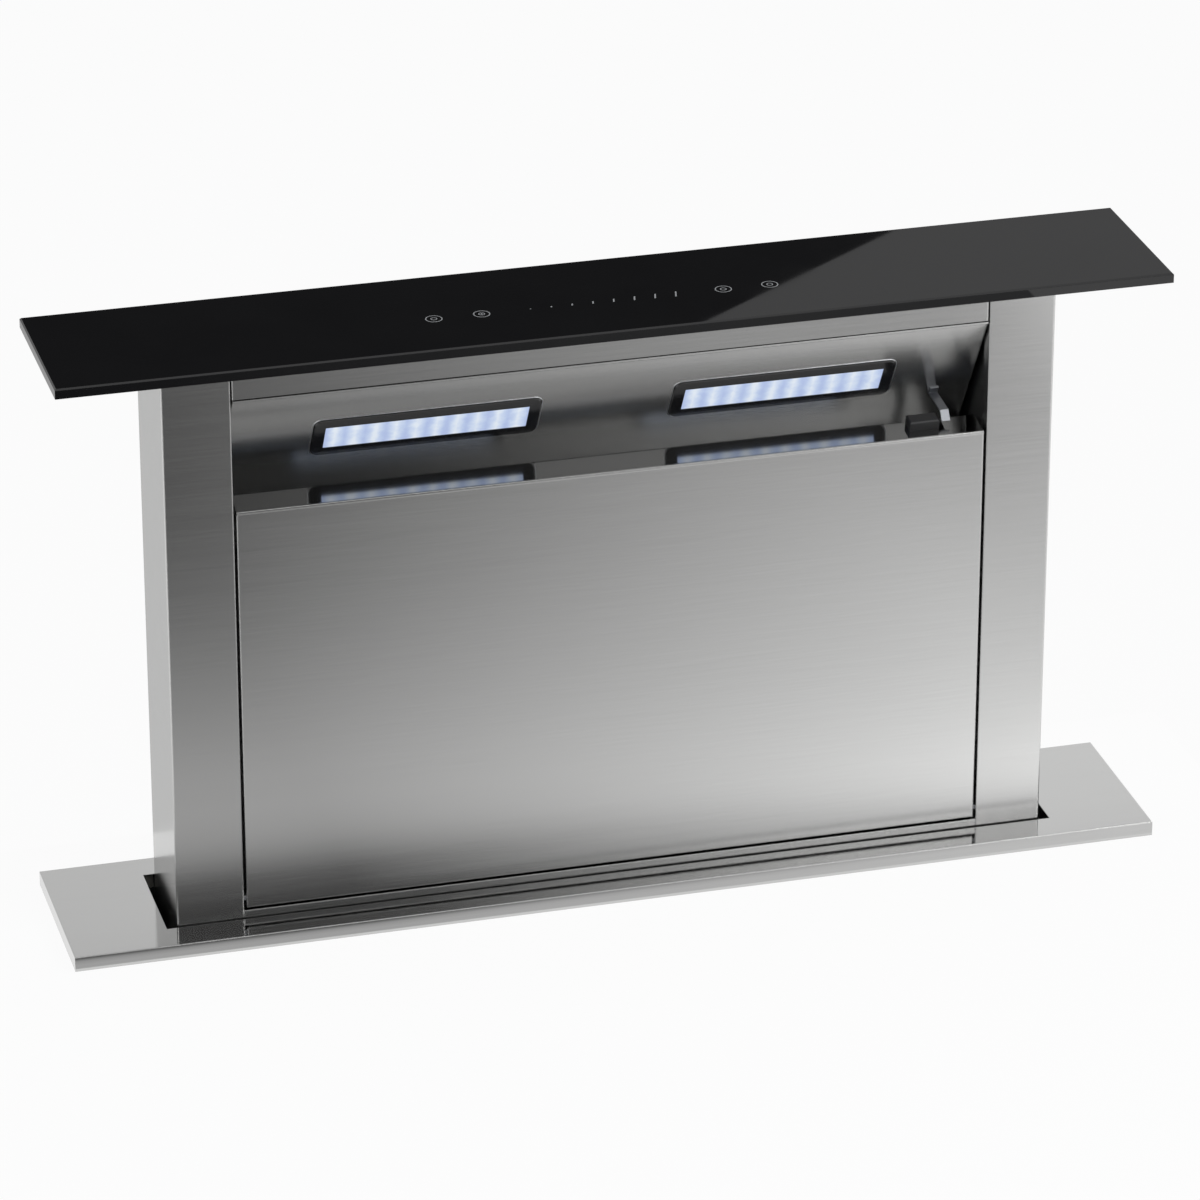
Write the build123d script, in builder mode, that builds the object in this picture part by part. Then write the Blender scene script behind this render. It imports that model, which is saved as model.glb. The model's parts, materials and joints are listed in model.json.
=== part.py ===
from build123d import *
from math import acos, cos, degrees, radians, sin, tan
import os

# A telescopic downdraft extractor, raised out of its worktop plate. Millimetres.
# X runs along the width, -Y faces the cook and +Z points up. The origin is the centre of the
# worktop cut-out, on the worktop's surface.

# ---------------------------------------------------------------- driving dimensions
# frame plate
plate_width = 880.0
plate_depth = 150.0
plate_height = 12.0
plate_sheet = 1.5
plate_edge_radius = 0.8
gasket_width = 8.0

# column that rises out of the plate
column_width = 707.0
column_depth = 90.0
column_sheet = 1.2
column_top = 480.0
column_foot = -70.0
pillar_width = 53.5
pillar_return = 12.0
pillar_joggle = 3.0
pillar_corner_radius = 1.5
slot_end_gap = 8.5
slot_side_gap = 2.0
lift_travel = 467.0

# glass top
glass_width = 876.0
glass_depth = 145.0
glass_thickness = 8.0
glass_bevel = 1.2
glass_centre_y = -4.0

# front panel
panel_side_gap = 2.5
panel_bottom = 21.0
panel_drop = 91.5
panel_return = 13.0
panel_bottom_return = 14.0
panel_flange = 24.0
panel_flange_rise = 11.0
panel_hem = 6.0
pin_radius = 2.5
pin_inset = 6.0
stiffener_width = 520.0
stiffener_height = 44.0
stiffener_depth = 9.0

# lamp panel, folded back from the fascia
fascia_height = 30.5
slope_angle = 58.5
lamp_panel_gap = 1.5
lamp_panel_foot = 15.0

# lamps, measured along the slope from the bend
lamp_offset = 142.0
lamp_down = 58.5
bezel_length = 179.0
bezel_height = 44.0
bezel_proud = 1.6
bezel_radius = 7.0
lens_length = 160.0
lens_height = 26.0
lens_thickness = 2.0
lens_recess = 0.6
lens_cells = 10
skirt_wall = 2.0
skirt_depth = 12.0
led_board_thickness = 1.6
led_radius = 2.2
led_height = 1.4

# grease filters and the ledges that carry them
filter_thickness = 12.0
filter_front = -8.0
filter_drop = 28.5
filter_side_gap = 1.5
filter_frame = 12.0
filter_slat_pitch = 26.0
filter_slat_width = 17.0
filter_slat_depth = 4.0
filter_sheet = 0.8
sill_gap = 2.5
ledge_lip = 12.0
ledge_gap = 0.5
top_rail_overlap = 12.0

# catch at the right-hand end of the intake
catch_x = 240.0
catch_length = 24.0
catch_height = 8.0
catch_depth = 12.0
catch_setback = 10.0
clip_gap = 2.5
clip_width = 7.0
clip_sheet = 1.2
clip_rise = 4.0
clip_root = 8.0
clip_setback = 2.0
clip_hook = 5.0
clip_fall = 3.0
clip_drop = 10.0
catch_bevel = 1.0

# housing below the worktop
housing_width = 756.0
housing_depth = 114.0
housing_foot = -560.0
housing_sheet = 1.2
housing_flange = 7.5
wall_flange = 15.0

# guides
rail_width = 34.0
rail_depth = 15.0
rail_sheet = 1.5
rail_lip = 6.0
rail_top = -6.0
guide_clearance = 0.3
shoe_height = 20.0
shoe_spacing = 28.0
shoe_rise = 2.0

# lift: two lead screws and a toothed belt under the floor
screw_inset = 25.5
screw_y = 8.0
screw_radius = 7.0
screw_shank_radius = 5.0
screw_collar_radius = 9.0
screw_collar_height = 2.5
screw_collar_gap = 0.3
screw_chamfer = 1.5
screw_top = -14.0
running_clearance = 0.05
nut_flange_radius = 16.0
nut_flange = 5.0
nut_radius = 10.8
nut_length = 24.0
foot_plate = 4.0
bearing_size = 36.0
bearing_height = 12.0
bearing_corner = 3.0
pulley_radius = 15.0
pulley_flange_radius = 17.5
pulley_flange = 1.5
pulley_margin = 0.5
pulley_teeth = 20
pulley_tooth_gap = 1.6
belt_width = 9.0
belt_thickness = 1.5
belt_clearance = 0.05
belt_drop = 6.0
motor_x = -230.0
motor_y = -95.0
motor_radius = 18.5
motor_length = 64.0
motor_edge = 2.0
gearbox_width = 56.0
gearbox_depth = 52.0
gearbox_height = 34.0
gearbox_corner = 6.0
motor_plate_rise = 15.0
motor_plate = 2.0
motor_plate_side_room = 4.0
motor_plate_front_room = 2.0
motor_plate_upright = 40.0
motor_plate_bore_room = 4.0
output_radius = 4.0

# limit switches on the rear wall
switch_x = 200.0
switch_width = 20.0
switch_height = 11.0
switch_depth = 6.0
switch_lever = 2.5
switch_rise_high = 40.0
switch_rise_low = 12.0

# blower on the front of the housing
blower_x = 80.0
blower_rise = 260.0
scroll_depth = 100.0
scroll_wall = 2.5
scroll_first_radius = 104.0
scroll_step = 9.0
scroll_tongue_angle = 50.0
scroll_outlet_drop = 175.0
impeller_radius = 95.0
impeller_eye_radius = 75.0
impeller_blades = 30
impeller_blade = 1.2
impeller_flats = 60
impeller_gap = 7.0
blade_angle = 28.0
hub_radius = 14.0
hub_length = 24.0
fan_shaft_radius = 4.0
fan_shaft_reach = 30.0
fan_shaft_chamfer = 0.8
inlet_radius = 70.0
inlet_hole_radius = 77.0
inlet_curl = 6.0
inlet_reach = 17.0
inlet_seat = 9.0
blower_motor_radius = 46.0
blower_motor_length = 56.0
blower_motor_chamfer = 4.0
blower_motor_land = 10.0
blower_motor_fins = 12
blower_motor_slot_width = 6.0
blower_motor_slot_depth = 6.0
boss_radius = 12.0
outlet_flange = 10.0
outlet_flange_thickness = 3.0
adapter_height = 60.0
spigot_radius = 75.0
spigot_length = 50.0
spigot_wall = 1.8
spigot_rim = 3.0
spigot_y = -140.0
flap_thickness = 1.4
flap_gap = 1.0
flap_drop = 20.0
spindle_radius = 2.0
knuckle_radius = 4.2
knuckle_length = 46.0

# control box on the front of the housing
box_left = -345.0
box_width = 150.0
box_top = -85.0
box_height = 150.0
box_depth = 46.0
box_sheet = 1.2
box_screw_inset = 8.0
board_side_room = 21.0
board_end_room = 29.0
board_shift_x = 8.0
board_shift_z = 6.0
standoff_height = 5.0
standoff_radius = 3.0
standoff_inset = 5.0
transformer_width = 34.0
transformer_height = 30.0
transformer_depth = 22.0
relay_width = 18.0
relay_height = 34.0
terminal_count = 7
terminal_pitch = 12.0
terminal_height = 14.0
terminal_depth = 12.0
gland_radius = 9.0
gland_bore = 4.0
gland_length = 18.0
gland_inset = 28.0
gland_neck_radius = 7.0
gland_thread = 8.0
gland_nut = 4.0

# brackets and fasteners
clamp_width = 40.0
clamp_upright = 34.0
clamp_near_x = 150.0
clamp_far_x = 290.0
clamp_reach = 32.0
clamp_screw_reach = 20.0
clamp_screw_drop = 10.0
clamp_height = -96.0
clamp_sheet = 2.0
worktop_thickness = 38.0
clamp_screw_radius = 3.0
clamp_pad_radius = 8.0
clamp_pad = 3.0
fixing_reach = 26.0
fixing_hole_reach = 16.0
fixing_height = -470.0
fixing_hole_radius = 2.6
fixing_hole_spacing = 50.0
fixing_width = 76.0
fixing_upright = 30.0
screw_hole_radius = 2.0
screw_sides = 6
fastener_radius = 1.9
fastener_head_radius = 3.8
fastener_head = 1.8
fastener_length = 6.0

# ---------------------------------------------------------------- derived places
plate_inner = plate_height - plate_sheet
bend_height = column_top - fascia_height
panel_top = bend_height - panel_drop
slot_width = column_width + 2 * slot_end_gap
slot_depth = column_depth + 2 * slot_side_gap
column_front = -column_depth / 2
column_back = column_depth / 2
inside_front = column_front + column_sheet
inside_back = column_back - column_sheet
pillar_outer = column_width / 2
pillar_inner = pillar_outer - pillar_width
chamber_half = pillar_inner + pillar_joggle
panel_half = pillar_inner - panel_side_gap
pivot_y = column_front + pin_inset
pivot_z = panel_bottom + pin_inset
slope_y = cos(radians(slope_angle))
slope_z = sin(radians(slope_angle))
housing_front_y = -housing_depth / 2
housing_back_y = housing_depth / 2
housing_side_x = housing_width / 2
wall_front = housing_front_y + housing_sheet
wall_side = housing_side_x - housing_sheet
floor_top = housing_foot + housing_sheet
motor_plate_height = housing_foot + motor_plate_rise
blower_z = housing_foot + blower_rise
screw_x = pillar_outer - screw_inset
bearing_top = floor_top + bearing_height
belt_top = housing_foot - belt_drop
belt_bottom = belt_top - belt_width
pulley_top = belt_top + pulley_flange + pulley_margin
pulley_bottom = belt_bottom - pulley_flange - pulley_margin
sill_top = panel_bottom - sill_gap
filter_back = filter_front + filter_thickness
filter_top = panel_top - filter_drop
filter_height = filter_top - sill_top
scroll_front = housing_front_y - scroll_depth
cover_front = scroll_front - scroll_wall
outlet_z = blower_z - scroll_outlet_drop
throat_x = blower_x - scroll_step + scroll_first_radius * cos(radians(scroll_tongue_angle))
outlet_x = blower_x + scroll_step + scroll_first_radius + 6 * scroll_step
spigot_x = (throat_x + outlet_x) / 2
adapter_top = outlet_z - outlet_flange_thickness
spigot_top = adapter_top - adapter_height
spigot_bottom = spigot_top - spigot_length
spindle_z = spigot_top - flap_drop
impeller_back = scroll_front + impeller_gap
impeller_front = housing_front_y - scroll_wall - impeller_gap
side_screw_heights = (-40.0, -290.0, -530.0)
floor_screw_places = (-250.0, 250.0)


# ---------------------------------------------------------------- shared helpers
def facing_front(y):
    """A plane across the object at depth y, seen from the front: local axes are X and Z."""
    return Plane(origin=(0, y, 0), x_dir=(1, 0, 0), z_dir=(0, -1, 0))


def on_slope(x, down):
    """A plane on the lamp panel's visible face, that far down from the bend. Local +Y is up the slope."""
    return Plane(
        origin=(x, column_front + down * slope_y, bend_height - down * slope_z),
        x_dir=(1, 0, 0),
        z_dir=(0, -slope_z, -slope_y),
    )


def slope_depth_at(height):
    """The depth of the lamp panel's visible face at a height."""
    return column_front + (bend_height - height) / tan(radians(slope_angle))


def folded_sheet(points, sheet, half_width, side=Side.RIGHT):
    """Extrudes a sheet folded along points in the YZ plane, to half_width each side of the middle."""
    with BuildPart() as built:
        with BuildSketch(Plane.YZ.offset(-half_width)):
            with BuildLine():
                Polyline(*points)
                offset(amount=sheet, side=side, kind=Kind.INTERSECTION)
            make_face()
        extrude(amount=2 * half_width)
    return built.part


def save(built, name):
    """Labels a finished piece and writes it to its own file."""
    built.part.label = name
    export_step(built.part, f"parts/{name}.step")


os.makedirs("parts", exist_ok=True)


# ---------------------------------------------------------------- frame plate
with BuildPart() as frame_plate:
    with BuildSketch():
        Rectangle(plate_width, plate_depth)
    extrude(amount=plate_height)
    fillet(frame_plate.faces().sort_by(Axis.Z)[-1].edges(), plate_edge_radius)
    with BuildSketch():
        Rectangle(plate_width - 2 * plate_sheet, plate_depth - 2 * plate_sheet)
        Rectangle(slot_width + 2 * plate_sheet, slot_depth + 2 * plate_sheet, mode=Mode.SUBTRACT)
    extrude(amount=plate_inner, mode=Mode.SUBTRACT)
    with BuildSketch():
        Rectangle(slot_width, slot_depth)
    extrude(amount=plate_height, mode=Mode.SUBTRACT)
save(frame_plate, "frame_plate")

with BuildPart() as plate_gasket:
    gasket_outer_x = plate_width - 2 * plate_sheet
    gasket_outer_y = plate_depth - 2 * plate_sheet
    with BuildSketch():
        Rectangle(gasket_outer_x, gasket_outer_y)
        Rectangle(gasket_outer_x - 2 * gasket_width, gasket_outer_y - 2 * gasket_width, mode=Mode.SUBTRACT)
    extrude(amount=plate_inner)
save(plate_gasket, "plate_gasket")


# ---------------------------------------------------------------- housing
def wall_screw_points():
    """Where the front and rear walls are screwed to the side walls and the floor, as (x, z)."""
    side_x = wall_side - wall_flange / 2
    floor_z = floor_top + wall_flange / 2
    points = [(s * side_x, z) for s in (-1, 1) for z in side_screw_heights]
    return points + [(x, floor_z) for x in floor_screw_places]


def housing_wall(side):
    """A long wall, on side -1 (front) or 1 (rear), hung by its top flange from the plate's underside."""
    inner = -side * wall_front
    lip = side * (housing_back_y + housing_flange)
    with BuildPart() as built:
        add(
            folded_sheet(
                [(inner, housing_foot), (inner, plate_inner), (lip, plate_inner)],
                housing_sheet,
                housing_side_x,
                Side.LEFT if side < 0 else Side.RIGHT,
            )
        )
        with BuildSketch(facing_front(inner)):
            with Locations(*wall_screw_points()):
                RegularPolygon(screw_hole_radius, screw_sides)
        extrude(amount=-side * housing_sheet, mode=Mode.SUBTRACT)
    return built


with BuildPart() as housing_front:
    add(housing_wall(-1).part)
    with BuildSketch(facing_front(wall_front)):
        with Locations((blower_x, blower_z)):
            Circle(inlet_hole_radius)
    extrude(amount=housing_sheet, mode=Mode.SUBTRACT)
save(housing_front, "housing_front")
housing_rear = housing_wall(1)
save(housing_rear, "housing_rear")


with BuildPart() as housing_shell:
    with BuildSketch(facing_front(-wall_front)):
        with BuildLine():
            Polyline(
                (-housing_side_x - housing_flange, plate_inner),
                (-wall_side, plate_inner),
                (-wall_side, floor_top),
                (wall_side, floor_top),
                (wall_side, plate_inner),
                (housing_side_x + housing_flange, plate_inner),
            )
            offset(amount=housing_sheet, side=Side.RIGHT, kind=Kind.INTERSECTION)
        make_face()
    extrude(amount=-2 * wall_front)
    flange_y = -wall_front - housing_sheet / 2
    with BuildSketch(Plane.XY.offset(floor_top)):
        with GridLocations(2 * wall_side - wall_flange, 2 * flange_y, 2, 2):
            Rectangle(wall_flange, housing_sheet)
    extrude(amount=plate_inner - housing_sheet - floor_top)
    with BuildSketch(Plane.XY.offset(floor_top)):
        with GridLocations(1, 2 * flange_y, 1, 2):
            Rectangle(2 * (wall_side - wall_flange - 1), housing_sheet)
    extrude(amount=wall_flange)
    with BuildSketch(Plane.XY.offset(housing_foot)):
        with Locations((screw_x, screw_y), (-screw_x, screw_y)):
            Circle(screw_collar_radius)
    extrude(amount=housing_sheet, mode=Mode.SUBTRACT)
    with BuildSketch(facing_front(-wall_front)):
        with Locations(*wall_screw_points()):
            RegularPolygon(screw_hole_radius, screw_sides)
    extrude(amount=-2 * wall_front, mode=Mode.SUBTRACT)
save(housing_shell, "housing_shell")


# ---------------------------------------------------------------- guides
def guide_rail(side):
    """A C rail standing on the floor against a side wall, open towards the column."""
    back = side * wall_side
    mouth = side * (wall_side - rail_depth)
    with BuildPart() as built:
        with BuildSketch(Plane.XY.offset(floor_top)):
            with BuildLine():
                Polyline(
                    (mouth, -rail_width / 2 + rail_sheet + rail_lip),
                    (mouth, -rail_width / 2),
                    (back, -rail_width / 2),
                    (back, rail_width / 2),
                    (mouth, rail_width / 2),
                    (mouth, rail_width / 2 - rail_sheet - rail_lip),
                )
                offset(
                    amount=rail_sheet,
                    side=Side.LEFT if side > 0 else Side.RIGHT,
                    kind=Kind.INTERSECTION,
                )
            make_face()
        extrude(amount=rail_top - floor_top)
    return built


save(guide_rail(-1), "guide_rail_left")
save(guide_rail(1), "guide_rail_right")

with BuildPart() as guide_shoes:
    head_half = rail_width / 2 - rail_sheet - guide_clearance
    neck_half = rail_width / 2 - rail_sheet - rail_lip - guide_clearance
    head_in = wall_side - rail_depth + rail_sheet + guide_clearance
    head_out = wall_side - rail_sheet - guide_clearance
    for side in (-1, 1):
        for rise in (shoe_rise, shoe_rise + shoe_spacing):
            with BuildSketch(Plane.XY.offset(column_foot + rise)):
                with Locations((side * (pillar_outer + head_in) / 2, 0)):
                    Rectangle(head_in - pillar_outer, 2 * neck_half)
                with Locations((side * (head_in + head_out) / 2, 0)):
                    Rectangle(head_out - head_in, 2 * head_half)
            extrude(amount=shoe_height)
save(guide_shoes, "guide_shoes")


# ---------------------------------------------------------------- column
def pillar(side):
    """A closed pillar. Its inner wall steps back behind the front return."""
    with BuildPart() as built:
        with BuildSketch(Plane.XY.offset(column_foot)) as section:
            with BuildLine():
                Polyline(
                    (side * pillar_inner, column_front),
                    (side * pillar_outer, column_front),
                    (side * pillar_outer, column_back),
                    (side * chamber_half, column_back),
                    (side * chamber_half, column_front + pillar_return),
                    (side * pillar_inner, column_front + pillar_return),
                    close=True,
                )
            make_face()
            corners = section.vertices().filter_by(lambda v: abs(abs(v.X) - pillar_outer) < 0.01)
            fillet(corners, pillar_corner_radius)
            offset(amount=-column_sheet, kind=Kind.INTERSECTION, mode=Mode.SUBTRACT)
        extrude(amount=column_top - column_foot)
        with BuildSketch(Plane.YZ.offset(side * (pillar_inner - 1))):
            with Locations((pivot_y, pivot_z)):
                Circle(pin_radius + running_clearance)
        extrude(amount=side * (column_sheet + 2), mode=Mode.SUBTRACT)
    return built


save(pillar(-1), "pillar_left")
save(pillar(1), "pillar_right")

with BuildPart() as pillar_feet:
    foot_left = chamber_half + column_sheet
    foot_right = pillar_outer - column_sheet
    for side in (-1, 1):
        with BuildSketch(Plane.XY.offset(column_foot)) as foot:
            with Locations((side * (foot_left + foot_right) / 2, 0)):
                Rectangle(foot_right - foot_left, 2 * inside_back)
            chamfer(foot.vertices(), pillar_corner_radius)
            with Locations((side * screw_x, screw_y)):
                Circle(nut_radius + running_clearance, mode=Mode.SUBTRACT)
        extrude(amount=foot_plate)
save(pillar_feet, "pillar_feet")

with BuildPart() as rear_panel:
    with BuildSketch(Plane.XY.offset(column_foot)):
        with BuildLine():
            Polyline(
                (-chamber_half, inside_back - pillar_return),
                (-chamber_half, column_back),
                (chamber_half, column_back),
                (chamber_half, inside_back - pillar_return),
            )
            offset(amount=column_sheet, side=Side.RIGHT, kind=Kind.INTERSECTION)
        make_face()
    extrude(amount=column_top - column_foot)
save(rear_panel, "rear_panel")

with BuildPart() as lower_sill:
    add(
        folded_sheet(
            [
                (column_front, column_foot),
                (column_front, sill_top),
                (filter_back + ledge_gap, sill_top),
                (filter_back + ledge_gap, sill_top + ledge_lip),
            ],
            column_sheet,
            pillar_inner,
        )
    )
save(lower_sill, "lower_sill")

with BuildPart() as lamp_panel:
    foot_y = inside_back - column_sheet
    foot_z = bend_height - (foot_y - column_front) * tan(radians(slope_angle))
    add(
        folded_sheet(
            [
                (column_front, column_top),
                (column_front, bend_height),
                (foot_y, foot_z),
                (foot_y, foot_z - lamp_panel_foot),
            ],
            column_sheet,
            pillar_inner - lamp_panel_gap,
            Side.LEFT,
        )
    )
    for x in (-lamp_offset, lamp_offset):
        with BuildSketch(on_slope(x, lamp_down).offset(1)):
            Rectangle(lens_length + 2 * skirt_wall, lens_height + 2 * skirt_wall)
        extrude(amount=-(column_sheet + 3), mode=Mode.SUBTRACT)
save(lamp_panel, "lamp_panel")


# ---------------------------------------------------------------- lamps
def lamp_bezel(x):
    """A rounded frame on the slope, with a skirt through the sheet that holds the lens and the board."""
    with BuildPart() as built:
        with BuildSketch(on_slope(x, lamp_down)) as rim:
            Rectangle(bezel_length, bezel_height)
            fillet(rim.vertices(), bezel_radius)
        extrude(amount=bezel_proud)
        outward = Axis((0, 0, 0), on_slope(x, lamp_down).z_dir)
        chamfer(built.faces().sort_by(outward)[-1].edges(), bezel_proud / 2)
        with BuildSketch(on_slope(x, lamp_down)):
            Rectangle(lens_length + 2 * skirt_wall, lens_height + 2 * skirt_wall)
        extrude(amount=-skirt_depth)
        with BuildSketch(on_slope(x, lamp_down).offset(bezel_proud)):
            Rectangle(lens_length, lens_height)
        extrude(amount=-(skirt_depth + bezel_proud), mode=Mode.SUBTRACT)
    return built


def lamp_lens(x):
    """A clear plate with grooves behind it that part the light into cells."""
    top = on_slope(x, lamp_down).offset(bezel_proud - lens_recess)
    pitch = lens_length / lens_cells
    with BuildPart() as built:
        with BuildSketch(top):
            Rectangle(lens_length, lens_height)
        extrude(amount=-lens_thickness)
        with BuildSketch(top.offset(-lens_thickness)):
            with GridLocations(pitch, 1, lens_cells - 1, 1):
                Rectangle(pitch / 8, lens_height - 2)
        extrude(amount=lens_thickness / 3, mode=Mode.SUBTRACT)
    return built


for hand, place in (("left", -lamp_offset), ("right", lamp_offset)):
    save(lamp_bezel(place), f"lamp_bezel_{hand}")
    save(lamp_lens(place), f"lamp_lens_{hand}")

# a board closes each skirt from behind, with one LED to a cell
with BuildPart() as led_boards:
    for place in (-lamp_offset, lamp_offset):
        board_plane = on_slope(place, lamp_down).offset(-skirt_depth)
        with BuildSketch(board_plane):
            Rectangle(lens_length, lens_height)
        extrude(amount=led_board_thickness)
        with BuildSketch(board_plane.offset(led_board_thickness)):
            with GridLocations(lens_length / lens_cells, 1, lens_cells, 1):
                Rectangle(2 * led_radius, 2 * led_radius)
        extrude(amount=led_height)
save(led_boards, "led_boards")


# ---------------------------------------------------------------- glass top and its controls
tray_window_x = 296.0
tray_window_y = 34.0
tray_lip = 10.0
controls_y = glass_centre_y - 12.0
sensor_count = 12
sensor_radius = 6.0
sensor_sides = 6
board_thickness = 1.6
board_margin = 5.0

with BuildPart() as top_tray:
    add(
        folded_sheet(
            [
                (inside_front, column_top - tray_lip),
                (inside_front, column_top),
                (inside_back, column_top),
                (inside_back, column_top - tray_lip),
            ],
            column_sheet,
            pillar_inner,
        )
    )
    with BuildSketch(Plane.XY.offset(column_top)):
        with Locations((0, controls_y)):
            Rectangle(tray_window_x, tray_window_y)
    extrude(amount=-column_sheet, mode=Mode.SUBTRACT)
save(top_tray, "top_tray")

with BuildPart() as touch_board:
    with BuildSketch(Plane.XY.offset(column_top - column_sheet)):
        with Locations((0, controls_y)):
            Rectangle(tray_window_x + 2 * board_margin, tray_window_y + 2 * board_margin)
    extrude(amount=-board_thickness)
    with BuildSketch(Plane.XY.offset(column_top - column_sheet)):
        with Locations((0, controls_y)):
            with GridLocations(tray_window_x / sensor_count, 1, sensor_count, 1):
                RegularPolygon(sensor_radius, sensor_sides)
    extrude(amount=column_sheet)
save(touch_board, "touch_board")

with BuildPart() as glass_top:
    with BuildSketch(Plane.XY.offset(column_top)):
        with Locations((0, glass_centre_y)):
            Rectangle(glass_width, glass_depth)
    extrude(amount=glass_thickness)
    chamfer(glass_top.faces().sort_by(Axis.Z)[-1].edges(), glass_bevel)
save(glass_top, "glass_top")


# ---------------------------------------------------------------- grease filters
def grease_filter(side):
    """A baffle filter: a frame with two staggered rows of channels, so that air turns twice."""
    width = chamber_half - 2 * filter_side_gap
    middle = side * (chamber_half / 2)
    half_height = filter_height / 2
    slats = int((width - 2 * filter_frame) / filter_slat_pitch)
    opening_height = filter_height - 2 * filter_frame
    with BuildPart() as built:
        with BuildSketch(facing_front(filter_back)):
            with Locations((middle, sill_top + half_height)):
                Rectangle(width, filter_height)
                Rectangle(width - 2 * filter_frame, opening_height, mode=Mode.SUBTRACT)
        extrude(amount=filter_thickness)
        bottom = sill_top + filter_frame
        for front, turn, count in ((filter_front + 1, 1, slats), (filter_back - 1, -1, slats - 1)):
            with BuildSketch(Plane.XY.offset(bottom)):
                with Locations((middle, front)):
                    with GridLocations(filter_slat_pitch, 1, count, 1):
                        with Locations((0, turn * filter_sheet / 2)):
                            Rectangle(filter_slat_width, filter_sheet)
                        edge = (filter_slat_width - filter_sheet) / 2
                        with Locations((-edge, turn * filter_slat_depth / 2), (edge, turn * filter_slat_depth / 2)):
                            Rectangle(filter_sheet, filter_slat_depth)
            extrude(amount=opening_height)
    return built


save(grease_filter(-1), "grease_filter_left")
save(grease_filter(1), "grease_filter_right")

with BuildPart() as filter_top_rail:
    cap = filter_top + ledge_gap
    front_leg = filter_front - ledge_gap - column_sheet
    back_leg = filter_back + ledge_gap
    with BuildSketch(Plane.YZ.offset(-chamber_half)):
        with BuildLine():
            Polyline(
                (front_leg, filter_top - top_rail_overlap),
                (front_leg, cap + column_sheet),
                (slope_depth_at(cap + column_sheet) - ledge_gap, cap + column_sheet),
                (slope_depth_at(cap + column_sheet) - ledge_gap, cap),
                (back_leg + column_sheet, cap),
                (back_leg + column_sheet, filter_top - top_rail_overlap),
                (back_leg, filter_top - top_rail_overlap),
                (back_leg, cap),
                (front_leg + column_sheet, cap),
                (front_leg + column_sheet, filter_top - top_rail_overlap),
                close=True,
            )
        make_face()
    extrude(amount=2 * chamber_half)
save(filter_top_rail, "filter_top_rail")


# ---------------------------------------------------------------- front panel, hinged at its foot
flange_y = panel_flange * cos(radians(panel_flange_rise))
flange_z = panel_flange * sin(radians(panel_flange_rise))
flange_end = (column_front + flange_y, panel_top + flange_z)

with BuildPart() as front_panel:
    add(
        folded_sheet(
            [
                (column_front + panel_bottom_return, panel_bottom),
                (column_front, panel_bottom),
                (column_front, panel_top),
                flange_end,
                (flange_end[0], flange_end[1] - panel_hem),
            ],
            column_sheet,
            panel_half,
        )
    )
    for side in (-1, 1):
        with BuildSketch(Plane.YZ.offset(side * panel_half)):
            with Locations((inside_front, panel_bottom + column_sheet)):
                Rectangle(
                    panel_return,
                    panel_top - panel_bottom - 2 * column_sheet,
                    align=(Align.MIN, Align.MIN),
                )
            with Locations((pivot_y, pivot_z)):
                Circle(pin_radius, mode=Mode.SUBTRACT)
        extrude(amount=-side * column_sheet)
save(front_panel, "front_panel")

with BuildPart() as hinge_pins:
    pin_start = panel_half - column_sheet - 3
    pin_end = pillar_inner + column_sheet + 2
    for side in (-1, 1):
        with BuildSketch(Plane.YZ.offset(side * pin_start)):
            with Locations((pivot_y, pivot_z)):
                Circle(pin_radius)
        extrude(amount=side * (pin_end - pin_start))
        with BuildSketch(Plane.YZ.offset(side * pin_start)):
            with Locations((pivot_y, pivot_z)):
                Circle(pin_radius + 1)
        extrude(amount=side * (panel_half - column_sheet - pin_start))
save(hinge_pins, "hinge_pins")

with BuildPart() as panel_stiffener:
    hat_middle = (panel_bottom + panel_top) / 2
    hat_foot = 9.0
    crown = stiffener_height / 2 - hat_foot
    add(
        folded_sheet(
            [
                (inside_front, hat_middle - stiffener_height / 2),
                (inside_front, hat_middle - crown),
                (inside_front + stiffener_depth, hat_middle - crown + 3),
                (inside_front + stiffener_depth, hat_middle + crown - 3),
                (inside_front, hat_middle + crown),
                (inside_front, hat_middle + stiffener_height / 2),
            ],
            column_sheet,
            stiffener_width / 2,
        )
    )
save(panel_stiffener, "panel_stiffener")

# the catch stands on the panel's flange and snaps past a spring clip on the lamp panel
catch_plane = Plane(
    origin=(catch_x + catch_length / 2, column_front, panel_top),
    x_dir=(1, 0, 0),
    z_dir=(0, -sin(radians(panel_flange_rise)), cos(radians(panel_flange_rise))),
)
with BuildPart() as catch_block:
    with BuildSketch(catch_plane):
        with Locations((0, catch_setback)):
            Rectangle(catch_length, catch_depth, align=(Align.CENTER, Align.MIN))
    extrude(amount=catch_height)
    chamfer(catch_block.faces().sort_by(Axis.Z)[-1].edges(), catch_bevel)
save(catch_block, "catch_block")

with BuildPart() as catch_clip:
    clip_z = panel_top + flange_z + catch_height + clip_rise
    clip_back = slope_depth_at(clip_z)
    clip_front = column_front + catch_setback + clip_setback
    clip_x = catch_x + catch_length + clip_gap
    with BuildSketch(Plane.YZ.offset(clip_x)):
        with BuildLine():
            Polyline(
                (clip_back - clip_root * slope_y, clip_z + clip_root * slope_z),
                (clip_back, clip_z),
                (clip_front + clip_hook, clip_z - clip_fall),
                (clip_front, clip_z - clip_drop),
            )
            offset(amount=clip_sheet, side=Side.RIGHT, kind=Kind.INTERSECTION)
        make_face()
    extrude(amount=clip_width)
save(catch_clip, "catch_clip")


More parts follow.
